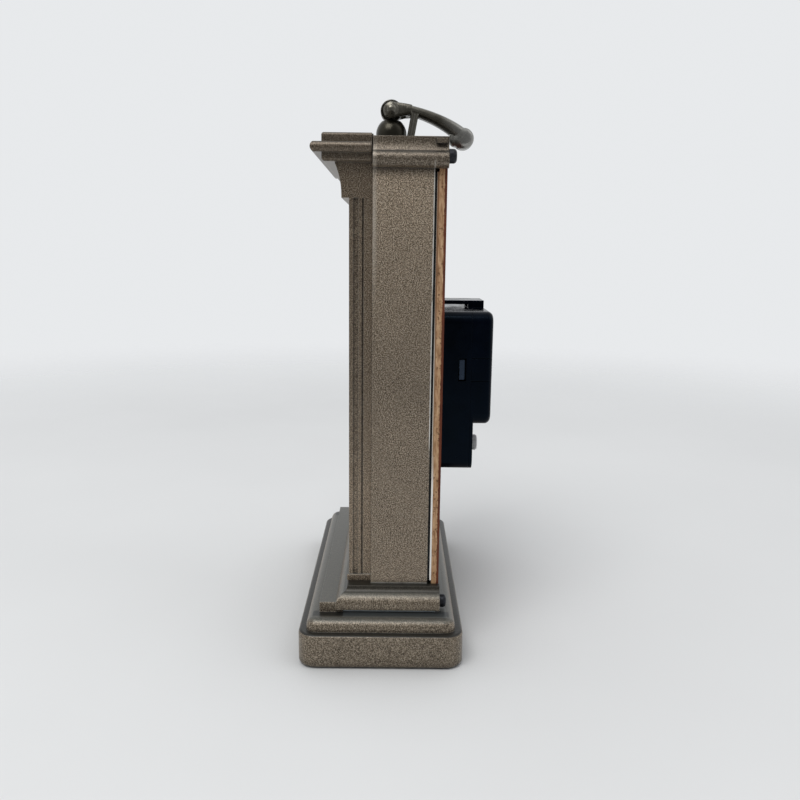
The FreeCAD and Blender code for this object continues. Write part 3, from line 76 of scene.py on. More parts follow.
def ramp(tree, amount, *stops):
    """Colours along an amount from 0 to 1, each stop given as its place and its colour."""
    scale = tree.nodes.new("ShaderNodeValToRGB")
    marks = scale.color_ramp.elements
    while len(marks) < len(stops):
        marks.new(0.5)
    for mark, (place, colour) in zip(marks, stops):
        mark.position = place
        mark.color = colour
    tree.links.new(amount, scale.inputs["Fac"])
    return scale.outputs["Color"]


def relief(tree, height, depth, under=None):
    """A surface normal raised by a pattern, depth metres from its lowest to its highest point."""
    bump = tree.nodes.new("ShaderNodeBump")
    bump.inputs["Strength"].default_value = 1.0
    bump.inputs["Distance"].default_value = depth
    tree.links.new(height, bump.inputs["Height"])
    if under is not None:
        tree.links.new(under, bump.inputs["Normal"])
    return bump.outputs["Normal"]


def dress(material, *names):
    """Put a finish on CAD nodes in place of the plain one that they were packed with."""
    for name in names:
        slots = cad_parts[name].data.materials
        slots.clear()
        slots.append(material)


def two_tone(tree, shader, pattern, low, high):
    """Colour a finish from one tone to another over the middle part of a pattern."""
    tree.links.new(ramp(tree, pattern, (0.3, low), (0.7, high)), shader.inputs["Base Color"])


felt, tree, shader, where = finish("green_felt", 0.95)
fibres = cloud(tree, where, 0.0006, 6.0)
two_tone(tree, shader, fibres, tone(24, 36, 28), tone(52, 68, 54))
tree.links.new(relief(tree, fibres, 0.0004), shader.inputs["Normal"])
shader.inputs["Sheen Weight"].default_value = 0.4
dress(felt, "base_felt")

# Base: plinth and foot moulding, zinc castings under one coat of bronze hammer paint, held together by long
# screws inside. The paint has fine light and dark metal flakes, a slight orange peel and thin worn edges that
# also carry a painted highlight, with painted shade in its grooves and on its level faces.


def mixed(tree, amount, low, high, how="MIX"):
    """Two colours mixed by an amount, which is a number or a pattern."""
    blend = tree.nodes.new("ShaderNodeMix")
    blend.data_type = "RGBA"
    blend.blend_type = how
    sockets = {s.identifier: s for s in blend.inputs}
    for key, value in (("Factor_Float", amount), ("A_Color", low), ("B_Color", high)):
        if isinstance(value, bpy.types.NodeSocket):
            tree.links.new(value, sockets[key])
        else:
            sockets[key].default_value = value
    return [s for s in blend.outputs if s.identifier == "Result_Color"][0]


def worked(tree, how, first, second=0.0):
    """A number worked out from patterns or plain numbers."""
    sum_node = tree.nodes.new("ShaderNodeMath")
    sum_node.operation = how
    for socket, value in zip(sum_node.inputs, (first, second)):
        if isinstance(value, bpy.types.NodeSocket):
            tree.links.new(value, socket)
        else:
            socket.default_value = value
    return sum_node.outputs["Value"]


def flakes(tree, where, size):
    """A random grey for each cell of a broken-up surface, cells about size across."""
    broken = tree.nodes.new("ShaderNodeTexVoronoi")
    broken.inputs["Scale"].default_value = 1 / size
    tree.links.new(where, broken.inputs["Vector"])
    apart = tree.nodes.new("ShaderNodeSeparateColor")
    tree.links.new(broken.outputs["Color"], apart.inputs["Color"])
    return apart.outputs["Red"]


def rounding(tree, radius):
    """The normal of the surface with its sharp edges eased to a small radius."""
    eased = tree.nodes.new("ShaderNodeBevel")
    eased.samples = 4
    eased.inputs["Radius"].default_value = radius
    return eased.outputs["Normal"]


def worn_edge(tree, eased):
    """How far a spot is an outer edge: one less the dot of the eased normal and the true one, scaled up."""
    true = tree.nodes.new("ShaderNodeNewGeometry")
    dot = tree.nodes.new("ShaderNodeVectorMath")
    dot.operation = "DOT_PRODUCT"
    tree.links.new(eased, dot.inputs[0])
    tree.links.new(true.outputs["Normal"], dot.inputs[1])
    return worked(tree, "MULTIPLY", worked(tree, "SUBTRACT", 1.0, dot.outputs["Value"]), 4.0)


def crevice(tree, reach, own):
    """How open a spot is, nought deep in a groove and one on a free face, judged within a reach.

    Where own is true, only the spot's own piece closes it in.
    """
    look = tree.nodes.new("ShaderNodeAmbientOcclusion")
    look.samples = 6
    look.only_local = own
    look.inputs["Distance"].default_value = reach
    return look.outputs["AO"]


def ledge(tree):
    """How far a face looks upwards: nought for an upright face and one for a level one."""
    facing = tree.nodes.new("ShaderNodeNewGeometry")
    steep = tree.nodes.new("ShaderNodeMapRange")
    steep.interpolation_type = "SMOOTHSTEP"
    steep.inputs["From Min"].default_value = 0.45
    steep.inputs["From Max"].default_value = 0.95
    tree.links.new(axis(tree, facing.outputs["True Normal"], "Z"), steep.inputs["Value"])
    return steep.outputs["Result"]


def axis(tree, where, letter):
    """One of the part's own coordinates, in metres."""
    apart = tree.nodes.new("ShaderNodeSeparateXYZ")
    tree.links.new(where, apart.inputs["Vector"])
    return apart.outputs[letter]


def band(tree, place, low, high, soft=0.00005):
    """One between two places along an axis and nought outside, with soft ends."""
    ends = []
    for edge, rising in ((low, True), (high, False)):
        step = tree.nodes.new("ShaderNodeMapRange")
        step.inputs["From Min"].default_value = edge - soft
        step.inputs["From Max"].default_value = edge + soft
        step.inputs["To Min"].default_value = 0.0 if rising else 1.0
        step.inputs["To Max"].default_value = 1.0 if rising else 0.0
        tree.links.new(place, step.inputs["Value"])
        ends.append(step.outputs["Result"])
    return worked(tree, "MULTIPLY", *ends)


def grey(level):
    """A plain grey of one level."""
    return (level, level, level, 1.0)


def hammer_paint(name, dark, body, light, deep, shallow):
    """Bronze hammer paint: fine specks of three tones, bright and dark flakes and a slow drift.

    Its edges are eased and painted paler, partly as rubbed metal and partly as a painted highlight. Painted
    shade darkens the grooves, and level faces are painted a dark grey as their shade and reflection. deep and
    shallow say how dark the painted groove shade is. An orange peel and a thin clear coat lie over it all.
    """
    speck, flake, rub_and_glint_size, peel_size, drift_size = 0.00034, 0.00045, 0.003, 0.0016, 0.03
    edge_radius, groove_shade_reach, peel_depth, speck_depth = 0.0005, 0.002, 0.00005, 0.00002
    made, tree, shader, where = finish(name, 0.4, 0.55)
    fine = cloud(tree, where, speck, 2.0)
    ground = ramp(tree, fine, (0.35, dark), (0.5, body), (0.65, light))
    chips = flakes(tree, where, flake)
    ground = mixed(tree, ramp(tree, chips, (0.9, grey(0)), (0.97, grey(0.35))), ground, tone(190, 178, 160))
    ground = mixed(tree, ramp(tree, chips, (0.03, grey(0.35)), (0.09, grey(0))), ground, tone(48, 40, 32))
    broad = cloud(tree, where, drift_size, 2.0)
    ground = mixed(tree, 1.0, ground, ramp(tree, broad, (0.3, grey(0.86)), (0.7, grey(1.0))), "MULTIPLY")
    eased = rounding(tree, edge_radius)
    # Edges painted paler, broken by a cloud: partly worn metal, partly a painted highlight.
    rub_and_glint = worked(tree, "MULTIPLY", worn_edge(tree, eased),
                 ramp(tree, cloud(tree, where, rub_and_glint_size, 4.0), (0.3, grey(0.0)), (0.7, grey(0.6))))
    ground = mixed(tree, rub_and_glint, ground, tone(190, 184, 172))
    # Level faces painted a dark grey as their shade and reflection.
    ground = mixed(tree, worked(tree, "MULTIPLY", ledge(tree), 0.8), ground, tone(78, 80, 77))
    # Painted shade: the colour darkens where the piece closes a spot in, deepest in grooves.
    groove_shade = ramp(tree, crevice(tree, groove_shade_reach, True), (0.3, grey(deep)), (0.55, grey(shallow)),
                (0.88, grey(1.0)))
    ground = mixed(tree, 1.0, ground, groove_shade, "MULTIPLY")
    tree.links.new(ground, shader.inputs["Base Color"])
    tree.links.new(ramp(tree, fine, (0.35, grey(0.32)), (0.65, grey(0.44))), shader.inputs["Roughness"])
    peel = relief(tree, cloud(tree, where, peel_size, 2.0), peel_depth, eased)
    tree.links.new(relief(tree, fine, speck_depth, peel), shader.inputs["Normal"])
    shader.inputs["Coat Weight"].default_value = 0.15
    shader.inputs["Coat Roughness"].default_value = 0.3
    return made, tree, shader, where, ground


# Painted light on the base, laid as bands by height: painted shade in a dark line at the groove above the
# slab, a pale blue-grey painted glint on the seat back from the front step, painted shade over the foot's
# cove, and painted shadow on the tier's top by the foot's ends. One more band is only darker along the
# plinth's bottom edge.
groove_shade_z, seat_glint_z, cove_shade_z, hem_z = (0.01145, 0.01188), (0.0160, 0.0170), (0.0222, 0.03), (-1.0, 0.0024)
shade_z, shade_x = (0.0157, 0.01597), (0.0485, 0.0523)
step_rear, line_soft, hem_soft, shade_soft = -0.0128, 0.00012, 0.0016, 0.0005
cast_paint, tree, shader, where, ground = hammer_paint(
    "bronze_hammer_paint", tone(66, 58, 48), tone(111, 100, 85), tone(162, 149, 131), 0.3, 0.75)
height = axis(tree, where, "Z")
across = worked(tree, "ABSOLUTE", axis(tree, where, "X"))
# Painted shadow of the foot on the tier's top, next to the foot's ends.
foot_end_shade = worked(tree, "MULTIPLY", band(tree, height, *shade_z), band(tree, across, *shade_x, shade_soft))
ground = mixed(tree, worked(tree, "MULTIPLY", foot_end_shade, 0.85), ground, tone(28, 30, 28))
behind_step = band(tree, axis(tree, where, "Y"), step_rear, 1.0)
for line, soft, strength, where_laid, colour in (
        (groove_shade_z, line_soft, 0.9, 1.0, tone(26, 24, 20)),
        (seat_glint_z, line_soft, 0.85, behind_step, tone(206, 218, 224)),
        (cove_shade_z, line_soft, 0.88, 1.0, tone(32, 31, 26)),
        (hem_z, hem_soft, 0.35, 1.0, tone(58, 52, 44))):
    laid = worked(tree, "MULTIPLY", band(tree, height, *line, soft), strength)
    ground = mixed(tree, worked(tree, "MULTIPLY", laid, where_laid), ground, colour)
tree.links.new(ground, shader.inputs["Base Color"])
dress(cast_paint, "plinth", "foot_moulding")

# Case: the same paint, with painted shading by height: lighter towards the top and dark just under the cap.
# A thin painted highlight runs down its upright front corner by the fascia's seam, a broken one along its
# foot, and a pale one along the upper part of its rear edge.
case_rear, case_front = 0.0156, -0.0037
case_low, case_high = 0.0242, 0.1614
rear_highlight_from, rear_highlight_width, rear_highlight_fade = 0.072, 0.0003, 0.004
seam_highlight_from, seam_highlight_fade = 0.132, 0.016
seam_before, seam_behind, seam_soft = 0.001, 0.0011, 0.0004
foot_below, foot_above, foot_soft = 0.001, 0.0005, 0.0001


def case_share(tree, height):
    """How far up the case a height lies, from nought at its foot to one under the cap."""
    share = tree.nodes.new("ShaderNodeMapRange")
    share.inputs["From Min"].default_value = case_low
    share.inputs["From Max"].default_value = case_high
    tree.links.new(height, share.inputs["Value"])
    return share.outputs["Result"]


case_paint, tree, shader, where, ground = hammer_paint(
    "bronze_case_paint", tone(92, 79, 65), tone(160, 143, 122), tone(230, 212, 188), 0.1, 0.5)
depth = axis(tree, where, "Y")
height = axis(tree, where, "Z")
# Painted shade and light by height: the tone rises towards the top and drops just under the cap.
height_shade = ramp(tree, case_share(tree, height), (0.0, grey(0.6)), (0.25, grey(0.56)), (0.5, grey(0.5)),
             (0.8, grey(0.76)), (0.98, grey(1.0)), (1.0, grey(0.34)))
ground = mixed(tree, 1.0, ground, height_shade, "MULTIPLY")
# A painted highlight down the front corner by the fascia's seam, on the upper part of the case.
seam_highlight = worked(tree, "MULTIPLY",
                band(tree, depth, case_front - seam_before, case_front + seam_behind, seam_soft),
                band(tree, height, seam_highlight_from, case_high, seam_highlight_fade))
ground = mixed(tree, worked(tree, "MULTIPLY", seam_highlight, 0.5), ground, tone(200, 192, 180))
# A broken pale line along the case's foot: a painted highlight on its lower edge.
foot_highlight = worked(tree, "MULTIPLY",
                   band(tree, height, case_low - foot_below, case_low + foot_above, foot_soft),
                   cloud(tree, where, 0.004, 3.0))
ground = mixed(tree, foot_highlight, ground, tone(206, 206, 200))
# A thin pale line along the upper part of the rear edge: a painted highlight, broken by a cloud.
rear_highlight = worked(tree, "MULTIPLY", band(tree, depth, case_rear - rear_highlight_width, case_rear + 0.0001),
              band(tree, height, rear_highlight_from, case_high - 0.001, rear_highlight_fade))
broken = ramp(tree, cloud(tree, where, 0.003, 4.0), (0.32, grey(0.25)), (0.48, grey(1.0)))
ground = mixed(tree, worked(tree, "MULTIPLY", rear_highlight, broken), ground, tone(226, 224, 218))
tree.links.new(ground, shader.inputs["Base Color"])
dress(case_paint, "case_shell")

# Front fascia: a separate zinc casting with fluted pilasters, a frieze and a cornice of square bars. It has
# the same paint in a darker, browner batch, with painted shading by height and painted shade on the cornice
# bars.
bar_shade_from = 0.163
fascia_paint, tree, shader, where, ground = hammer_paint(
    "bronze_fascia_paint", tone(78, 67, 55), tone(130, 115, 97), tone(186, 168, 146), 0.5, 0.85)
height = axis(tree, where, "Z")
# Painted shading by height: lightest low down, darker in the middle and towards the cornice.
height_shade = ramp(tree, case_share(tree, height), (0.0, grey(0.92)), (0.22, grey(1.0)), (0.36, grey(0.76)),
             (0.5, grey(0.7)), (0.85, grey(0.78)), (0.92, grey(0.66)))
ground = mixed(tree, 1.0, ground, height_shade, "MULTIPLY")
# The cornice bars, above 163 mm, painted darker as shade.
bar_shade = worked(tree, "MULTIPLY", band(tree, height, bar_shade_from, 1.0, 0.0005), 0.42)
tree.links.new(mixed(tree, bar_shade, ground, tone(52, 45, 37)), shader.inputs["Base Color"])
dress(fascia_paint, "front_fascia")

# Screws: mild steel pan heads under black oxide, with a faint turned grain and oil sheen. They hold the
# plinth, the fascia and the back panel.
oxide, tree, shader, where = finish("black_oxide", 0.42, 0.6)
grain = cloud(tree, where, 0.0007, 5.0)
two_tone(tree, shader, grain, tone(22, 23, 27), tone(44, 46, 52))
tree.links.new(ramp(tree, grain, (0.3, grey(0.32)), (0.7, grey(0.5))), shader.inputs["Roughness"])
tree.links.new(relief(tree, grain, 0.00003, rounding(tree, 0.0003)), shader.inputs["Normal"])
dress(oxide, "plinth_screws", "fascia_screws", "back_panel_screws")

# Dial glass: a flat pane of thin float glass set behind the fascia's opening, clear with a faint green tint.
# A few dull smears lie on it.
glass, tree, shader, where = finish("dial_pane", 0.02)
shader.inputs["Base Color"].default_value = (0.96, 0.985, 0.975, 1)
shader.inputs["Transmission Weight"].default_value = 1.0
shader.inputs["IOR"].default_value = 1.46
smear = ramp(tree, cloud(tree, where, 0.03, 4.0), (0.45, grey(0.0)), (0.8, grey(0.05)))
tree.links.new(smear, shader.inputs["Roughness"])
dress(glass, "dial_glass")

# Back panel: 2.5 mm fibre board, sawn so that its tan edge shows the pressed fibres, with a red-brown
# varnished back that broke away raggedly under the saw.
panel_rear, varnish, splinter = 0.0195, 0.0008, 0.0007
board, tree, shader, where = finish("fibre_board", 0.82)
strands = cloud(tree, where, 0.0008, 6.0, (1.0, 1.0, 0.22))
sawn = ramp(tree, strands, (0.3, tone(126, 92, 62)), (0.5, tone(168, 132, 98)), (0.72, tone(196, 164, 130)))
pits = ramp(tree, flakes(tree, where, 0.0006), (0.05, (0.45, 0.4, 0.36, 1)), (0.16, grey(1.0)))
sawn = mixed(tree, 1.0, sawn, pits, "MULTIPLY")
depth = axis(tree, where, "Y")
ragged = worked(tree, "ADD", depth, worked(tree, "MULTIPLY", cloud(tree, where, 0.0012, 4.0), splinter))
back_skin = ramp(tree, cloud(tree, where, 0.006, 5.0), (0.3, tone(76, 35, 14)), (0.7, tone(97, 47, 21)))
sawn = mixed(tree, band(tree, ragged, panel_rear - varnish + splinter / 2, 1.0, 0.0001), sawn, back_skin)
tree.links.new(sawn, shader.inputs["Base Color"])
tree.links.new(relief(tree, strands, 0.0003), shader.inputs["Normal"])
dress(board, "back_panel")

# Dial card: heavy card glued to the panel's front, its print face a warm cream with a fine laid grain. Its
# cut edge is white at the bottom and painted brown above as shade, but for a thin pale line in front.
card_front, print_depth, print_soft = 0.0164, 0.00003, 0.00002
line_width, line_from, line_to, line_fade = 0.0002, 0.06, 0.11, 0.008
card, tree, shader, where = finish("dial_card_stock", 0.7)
laid = cloud(tree, where, 0.0011, 5.0)
cream = ramp(tree, laid, (0.3, tone(232, 226, 208)), (0.7, tone(243, 238, 224)))
depth = axis(tree, where, "Y")
height = axis(tree, where, "Z")
uneven = worked(tree, "ADD", height, worked(tree, "MULTIPLY", cloud(tree, where, 0.004, 4.0), 0.006))
# The cut edge: white low down, painted brown higher up as shade.
cut_edge = ramp(tree, case_share(tree, uneven), (0.28, tone(247, 247, 245)), (0.35, tone(160, 128, 98)),
                (0.72, tone(132, 98, 70)))
front_line = worked(tree, "MULTIPLY", band(tree, depth, -1.0, card_front + line_width),
                    band(tree, height, line_from, line_to, line_fade))
cut_edge = mixed(tree, front_line, cut_edge, tone(206, 202, 194))
print_face = band(tree, depth, -1.0, card_front + print_depth, print_soft)
tree.links.new(mixed(tree, print_face, cut_edge, cream), shader.inputs["Base Color"])
tree.links.new(relief(tree, laid, 0.00003), shader.inputs["Normal"])
dress(card, "dial_card")

# Dial print: a minute track, hour numbers and a plain border, raised a hair's breadth as screen-printed ink.
# All of it is set out round the hand centre, 87.9 mm above the table.
centre_z = 0.0879
ink_rise = 0.00005
track_outer, track_inner, hour_inner, centre_ring = 0.0252, 0.0236, 0.0222, 0.0125
track_line, thin_line, hour_width, minute_width = 0.0003, 0.0002, 0.0009, 0.00035
border_x, border_z, border_corner, border_line = 0.0262, 0.0506, 0.006, 0.0004
number_ring, number_size = 0.0188, 0.0058
ink, tree, shader, where = finish("dial_ink", 0.5)
two_tone(tree, shader, cloud(tree, where, 0.0006, 3.0), tone(20, 18, 17), tone(38, 34, 31))


def shown(name, mesh, material):
    """An object that shows a mesh in one finish, at the origin."""
    mesh.materials.append(material)
    piece = bpy.data.objects.new(name, mesh)
    bpy.context.scene.collection.objects.link(piece)
    return piece


def surface(name, points, wrap_u=True, wrap_v=True):
    """A mesh from a grid of points: rows run along v and columns along u, each closed or left open."""
    rows, columns = points.shape[:2]
    index = np.arange(rows * columns).reshape(rows, columns)
    v = np.arange(rows if wrap_v else rows - 1)
    u = np.arange(columns if wrap_u else columns - 1)
    vv, uu = np.meshgrid(v, u, indexing="ij")
    v1, u1 = (vv + 1) % rows, (uu + 1) % columns
    quads = np.stack([index[vv, uu], index[vv, u1], index[v1, u1], index[v1, uu]], axis=-1).reshape(-1, 4)
    mesh = bpy.data.meshes.new(name)
    mesh.from_pydata(points.reshape(-1, 3).tolist(), [], quads.tolist())
    mesh.validate()
    return mesh


def flat_loop(name, path, width, rise=ink_rise, laid=ink, lift=0.0):
    """A flat strip on the card, such as a printed line, carried round a closed path and moved up by lift.

    path is an array of (x, z, across_x, across_z): each point and its unit direction across the line.
    The strip's section is a rectangle, so row k is the path moved by the section's k-th corner.
    """
    seam_highlight = np.array([(-0.5, 0), (0.5, 0), (0.5, 1), (-0.5, 1)])
    x = path[None, :, 0] + seam_highlight[:, :1] * width * path[None, :, 2]
    z = path[None, :, 1] + seam_highlight[:, :1] * width * path[None, :, 3]
    y = card_front - seam_highlight[:, 1:] * rise + 0 * x
    return shown(name, surface(name, np.stack([x, y, z + centre_z + lift], axis=-1)), laid)


def ring_path(radius, count=180):
    """A circle about the hand centre: the point at angle a is (sin a, cos a) times the radius."""
    a = np.linspace(0, 2 * np.pi, count, endpoint=False)
    return np.stack([radius * np.sin(a), radius * np.cos(a), np.sin(a), np.cos(a)], axis=1)


def border_path(half_x, half_z, seam_highlight, count=24):
    """A rectangle with hollow corners: each corner is a quarter circle about the rectangle's own corner."""
    a = np.linspace(0, np.pi / 2, count)
    arcs = []
    for sx, sz in ((1, 1), (1, -1), (-1, -1), (-1, 1)):
        turn = a if sx * sz > 0 else a[::-1]
        in_x, in_z = np.cos(turn) * seam_highlight, np.sin(turn) * seam_highlight
        arcs.append(np.stack([sx * (half_x - in_x), sz * (half_z - in_z)], axis=1))
    line = np.concatenate(arcs)
    step = np.roll(line, -1, 0) - np.roll(line, 1, 0)
    step /= np.linalg.norm(step, axis=1, keepdims=True)
    return np.column_stack([line, -step[:, 1], step[:, 0]])


def minute_marks(name):
    """Sixty radial bars, one each six degrees, the five-minute ones wider and longer.

    Each bar is a box: its corners are (across, along) from the table below, turned by the bar's angle.
    """
    turn = np.radians(np.arange(60) * 6.0)
    hour = np.arange(60) % 5 == 0
    width = np.where(hour, hour_width, minute_width)
    inner = np.where(hour, hour_inner, track_inner)
    across = np.array([-0.5, 0.5, 0.5, -0.5] * 2)
    far = np.array([0, 0, 1, 1] * 2)
    rise = np.array([0, 0, 0, 0, 1, 1, 1, 1])
    along = inner[:, None] + (track_outer - inner[:, None]) * far[None, :]
    side = width[:, None] * across[None, :]
    sine, cosine = np.sin(turn)[:, None], np.cos(turn)[:, None]
    x = along * sine + side * cosine
    z = along * cosine - side * sine + centre_z
    y = card_front - rise[None, :] * ink_rise + 0 * x
    points = np.stack([x, y, z], axis=-1).reshape(-1, 3)
    sides = np.array([(0, 1, 2, 3), (7, 6, 5, 4), (0, 4, 5, 1), (1, 5, 6, 2), (2, 6, 7, 3), (3, 7, 4, 0)])
    faces = (np.arange(60)[:, None, None] * 8 + sides[None]).reshape(-1, 4)
    mesh = bpy.data.meshes.new(name)
    mesh.from_pydata(points.tolist(), [], faces.tolist())
    return shown(name, mesh, ink)


def hour_numbers(name, radius, size):
    """The numbers one to twelve, upright, with number n at n times 30 degrees round the hand centre."""
    vertices, faces, start = [], [], 0
    for n in range(1, 13):
        words = bpy.data.curves.new("number_%d" % n, "FONT")
        words.body = str(n)
        words.size = size
        words.extrude = ink_rise / 2
        words.align_x = "CENTER"
        words.align_y = "CENTER"
        words.resolution_u = 4
        holder = bpy.data.objects.new("number_%d" % n, words)
        bpy.context.scene.collection.objects.link(holder)
        bpy.context.view_layer.update()
        solid = bpy.data.meshes.new_from_object(holder.evaluated_get(bpy.context.evaluated_depsgraph_get()))
        flat = np.zeros(len(solid.vertices) * 3)
        solid.vertices.foreach_get("co", flat)
        flat = flat.reshape(-1, 3)
        angle = math.radians(30 * n)
        spot = np.column_stack([flat[:, 0] + radius * math.sin(angle), card_front - ink_rise / 2 - flat[:, 2],
                                flat[:, 1] + radius * math.cos(angle) + centre_z])
        vertices.append(spot)
        faces += [[i + start for i in polygon.vertices] for polygon in solid.polygons]
        start += len(spot)
        bpy.data.objects.remove(holder)
        bpy.data.curves.remove(words)
        bpy.data.meshes.remove(solid)
    mesh = bpy.data.meshes.new(name)
    mesh.from_pydata(np.concatenate(vertices).tolist(), [], faces)
    return shown(name, mesh, ink)


for printed in (flat_loop("dial_track_outer", ring_path(track_outer), track_line),
                flat_loop("dial_track_inner", ring_path(track_inner), thin_line),
                flat_loop("dial_centre_ring", ring_path(centre_ring, 120), thin_line),
                flat_loop("dial_border", border_path(border_x, border_z, border_corner), border_line),
                minute_marks("dial_minute_marks"), hour_numbers("dial_numbers", number_ring, number_size)):
    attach(printed, "case")

# Gap shadow strip: a narrow strip of black foam between the card and the case's rear edge, stuck on all
# round.
# Its black stands in for the shadow in that gap, so that no light shows through; as a dust seal it is a
# guess.
strip_x, strip_z, strip_corner, strip_lift = 0.0430, 0.0672, 0.0004, 0.0051
strip_width, strip_thick = 0.0014, 0.00076
shadow_foam, tree, shader, where = finish("gap_shadow_foam", 0.9)
cells = cloud(tree, where, 0.0004, 4.0)
two_tone(tree, shader, cells, tone(10, 10, 11), tone(24, 24, 25))
tree.links.new(relief(tree, cells, 0.0001), shader.inputs["Normal"])
shadow_strip = flat_loop("gap_shadow_strip", border_path(strip_x, strip_z, strip_corner), strip_width, strip_thick, shadow_foam,
                 strip_lift)
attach(shadow_strip, "case")

# Handle post and rivet: turned zinc under a thin smooth gunmetal lacquer, with edges painted lighter as wear
# and highlight. A nut inside the cap holds the post, and the rivet through its eye carries the strap.
grip_sheen_from, grip_sheen_fade = 0.0235, 0.005


def lacquer(name, dark, light, roughness, soft):
    """Smooth gunmetal lacquer: slow two-tone cloud, fine dust, edges lit and worn paler, painted sheen at the
    grip.
    """
    made, tree, shader, where = finish(name, roughness, 0.85)
    slow = cloud(tree, where, 0.005, 4.0)
    ground = ramp(tree, slow, (0.3, dark), (0.7, light))
    # A painted sheen towards the grip: the lighter tone stands for the pale room reflected in it.
    grip_sheen = band(tree, axis(tree, where, "Y"), grip_sheen_from, 1.0, grip_sheen_fade)
    ground = mixed(tree, grip_sheen, ground, tone(150, 149, 145))
    dust = ramp(tree, cloud(tree, where, 0.0005, 4.0), (0.35, grey(0.82)), (0.65, grey(1.0)))
    ground = mixed(tree, 1.0, ground, dust, "MULTIPLY")
    eased = rounding(tree, soft)
    # Edges painted paler: partly worn metal, partly a painted highlight.
    ground = mixed(tree, worked(tree, "MULTIPLY", worn_edge(tree, eased), slow), ground, tone(186, 182, 174))
    tree.links.new(ground, shader.inputs["Base Color"])
    tree.links.new(relief(tree, cloud(tree, where, 0.0012, 2.0), 0.00003, eased), shader.inputs["Normal"])
    return made


gunmetal = lacquer("gunmetal_lacquer", tone(84, 81, 73), tone(118, 115, 106), 0.26, 0.0004)
dress(gunmetal, "handle_rivet")
dress(lacquer("gunmetal_post", tone(44, 42, 36), tone(66, 63, 55), 0.28, 0.0006), "handle_post")

# Handle strap: one zinc casting, round in section, with a fork at the pivot, a scrolled grip at its end and
# two ribbed pegs that rest on the cap. It is worked out as tubes and rolls that run into one another.
pivot_y, pivot_z = 0.0015, 0.1853
boss_radius, arm_middle, arm_half = 0.0029, 0.0033, 0.0012
strap_half, grip_radius, curl_radius, curl_half = 0.0045, 0.0038, 0.0028, 0.0035
grip_y, grip_z, curl_y = 0.0275, 0.1761, 0.0250
bow_y, bow_z, bow_radius = -0.00395, 0.12244, 0.066
hollow_y, hollow_z, hollow_radius = 0.00569, 0.15845, 0.026
hollow_from, strap_from, belly = 0.0093, 0.0063, 0.0011
strap_to, arm_to, shoulder_length = 0.0278, 0.0092, 0.0008
peg_side, peg_radius, peg_pitch = 0.0034, 0.00085, 0.001
peg_head, peg_foot = np.array([0.0102, 0.1860]), np.array([0.00757, 0.1713])


def tube(line, half_x, half_t, middle_x=0.0, square=2.6, count=40):
    """A closed tube along a line of (y, z) stations, its ends run in to a point over rounded shoulders.

    At a station the section is a superellipse: |cos a| and |sin a| to the power 2 / square, with their signs,
    times half_x across the clock and half_t square to the line.
    """
    a = np.linspace(0, 2 * np.pi, count, endpoint=False)
    wide = np.sign(np.cos(a)) * np.abs(np.cos(a)) ** (2 / square)
    tall = np.sign(np.sin(a)) * np.abs(np.sin(a)) ** (2 / square)
    step = np.gradient(line, axis=0)
    step /= np.linalg.norm(step, axis=1, keepdims=True)
    gone = np.concatenate([[0], np.cumsum(np.linalg.norm(np.diff(line, axis=0), axis=1))])
    shoulder = np.minimum(np.minimum(gone, gone[-1] - gone) / shoulder_length, 1.0)
    full = np.sqrt(1 - (1 - shoulder) ** 2)
    y = line[:, :1] - (half_t * full * step[:, 1])[:, None] * tall
    z = line[:, 1:] + (half_t * full * step[:, 0])[:, None] * tall
    x = middle_x + (half_x * full)[:, None] * wide
    return np.stack([x, y, z], axis=-1)


def roll(y, z, radius, half, middle_x=0.0, square=4.0, rows=25, count=40):
    """A rounded bar across the clock, laid out by an angle v from one end to the other.

    Its reach is |sin v| with its sign and its radius is |cos v|, each to the power 2 / square.
    """
    v = np.linspace(-np.pi / 2, np.pi / 2, rows)
    a = np.linspace(0, 2 * np.pi, count, endpoint=False)
    reach = half * np.sign(np.sin(v)) * np.abs(np.sin(v)) ** (2 / square)
    size = radius * np.clip(np.cos(v), 0, 1) ** (2 / square)
    x = middle_x + reach[:, None] + 0 * a
    return np.stack([x, y + size[:, None] * np.cos(a), z + size[:, None] * np.sin(a)], axis=-1)


def upper_curve(y):
    """Height of the strap's top: a circle that touches the boss and the grip."""
    return bow_z + np.sqrt(bow_radius ** 2 - (y - bow_y) ** 2)


def lower_curve(y):
    """Height of the strap's underside: straight from the boss, then a hollow circle to the grip."""
    start = pivot_z - boss_radius
    meet = hollow_z + math.sqrt(hollow_radius ** 2 - (hollow_from - hollow_y) ** 2)
    slope = (meet - start) / (hollow_from - pivot_y)
    hollow = hollow_z + np.sqrt(hollow_radius ** 2 - (np.maximum(y, hollow_from) - hollow_y) ** 2)
    full = np.sin(np.clip((y - strap_from) / (grip_y - strap_from), 0, 1) * np.pi) * belly
    return np.where(y < hollow_from, start + slope * (y - pivot_y), hollow) - full


def strap_run(start, end, half_x, middle_x, count):
    """The part of the strap between two depths, as a tube as tall as the strap's two curves are apart."""
    y = start + (end - start) * (1 - np.cos(np.linspace(0, np.pi, count))) / 2
    top, low = upper_curve(y), lower_curve(y)
    line = np.stack([y, (top + low) / 2], axis=1)
    step = np.gradient(line, axis=0)
    return tube(line, half_x, (top - low) / 2 * step[:, 0] / np.linalg.norm(step, axis=1), middle_x)


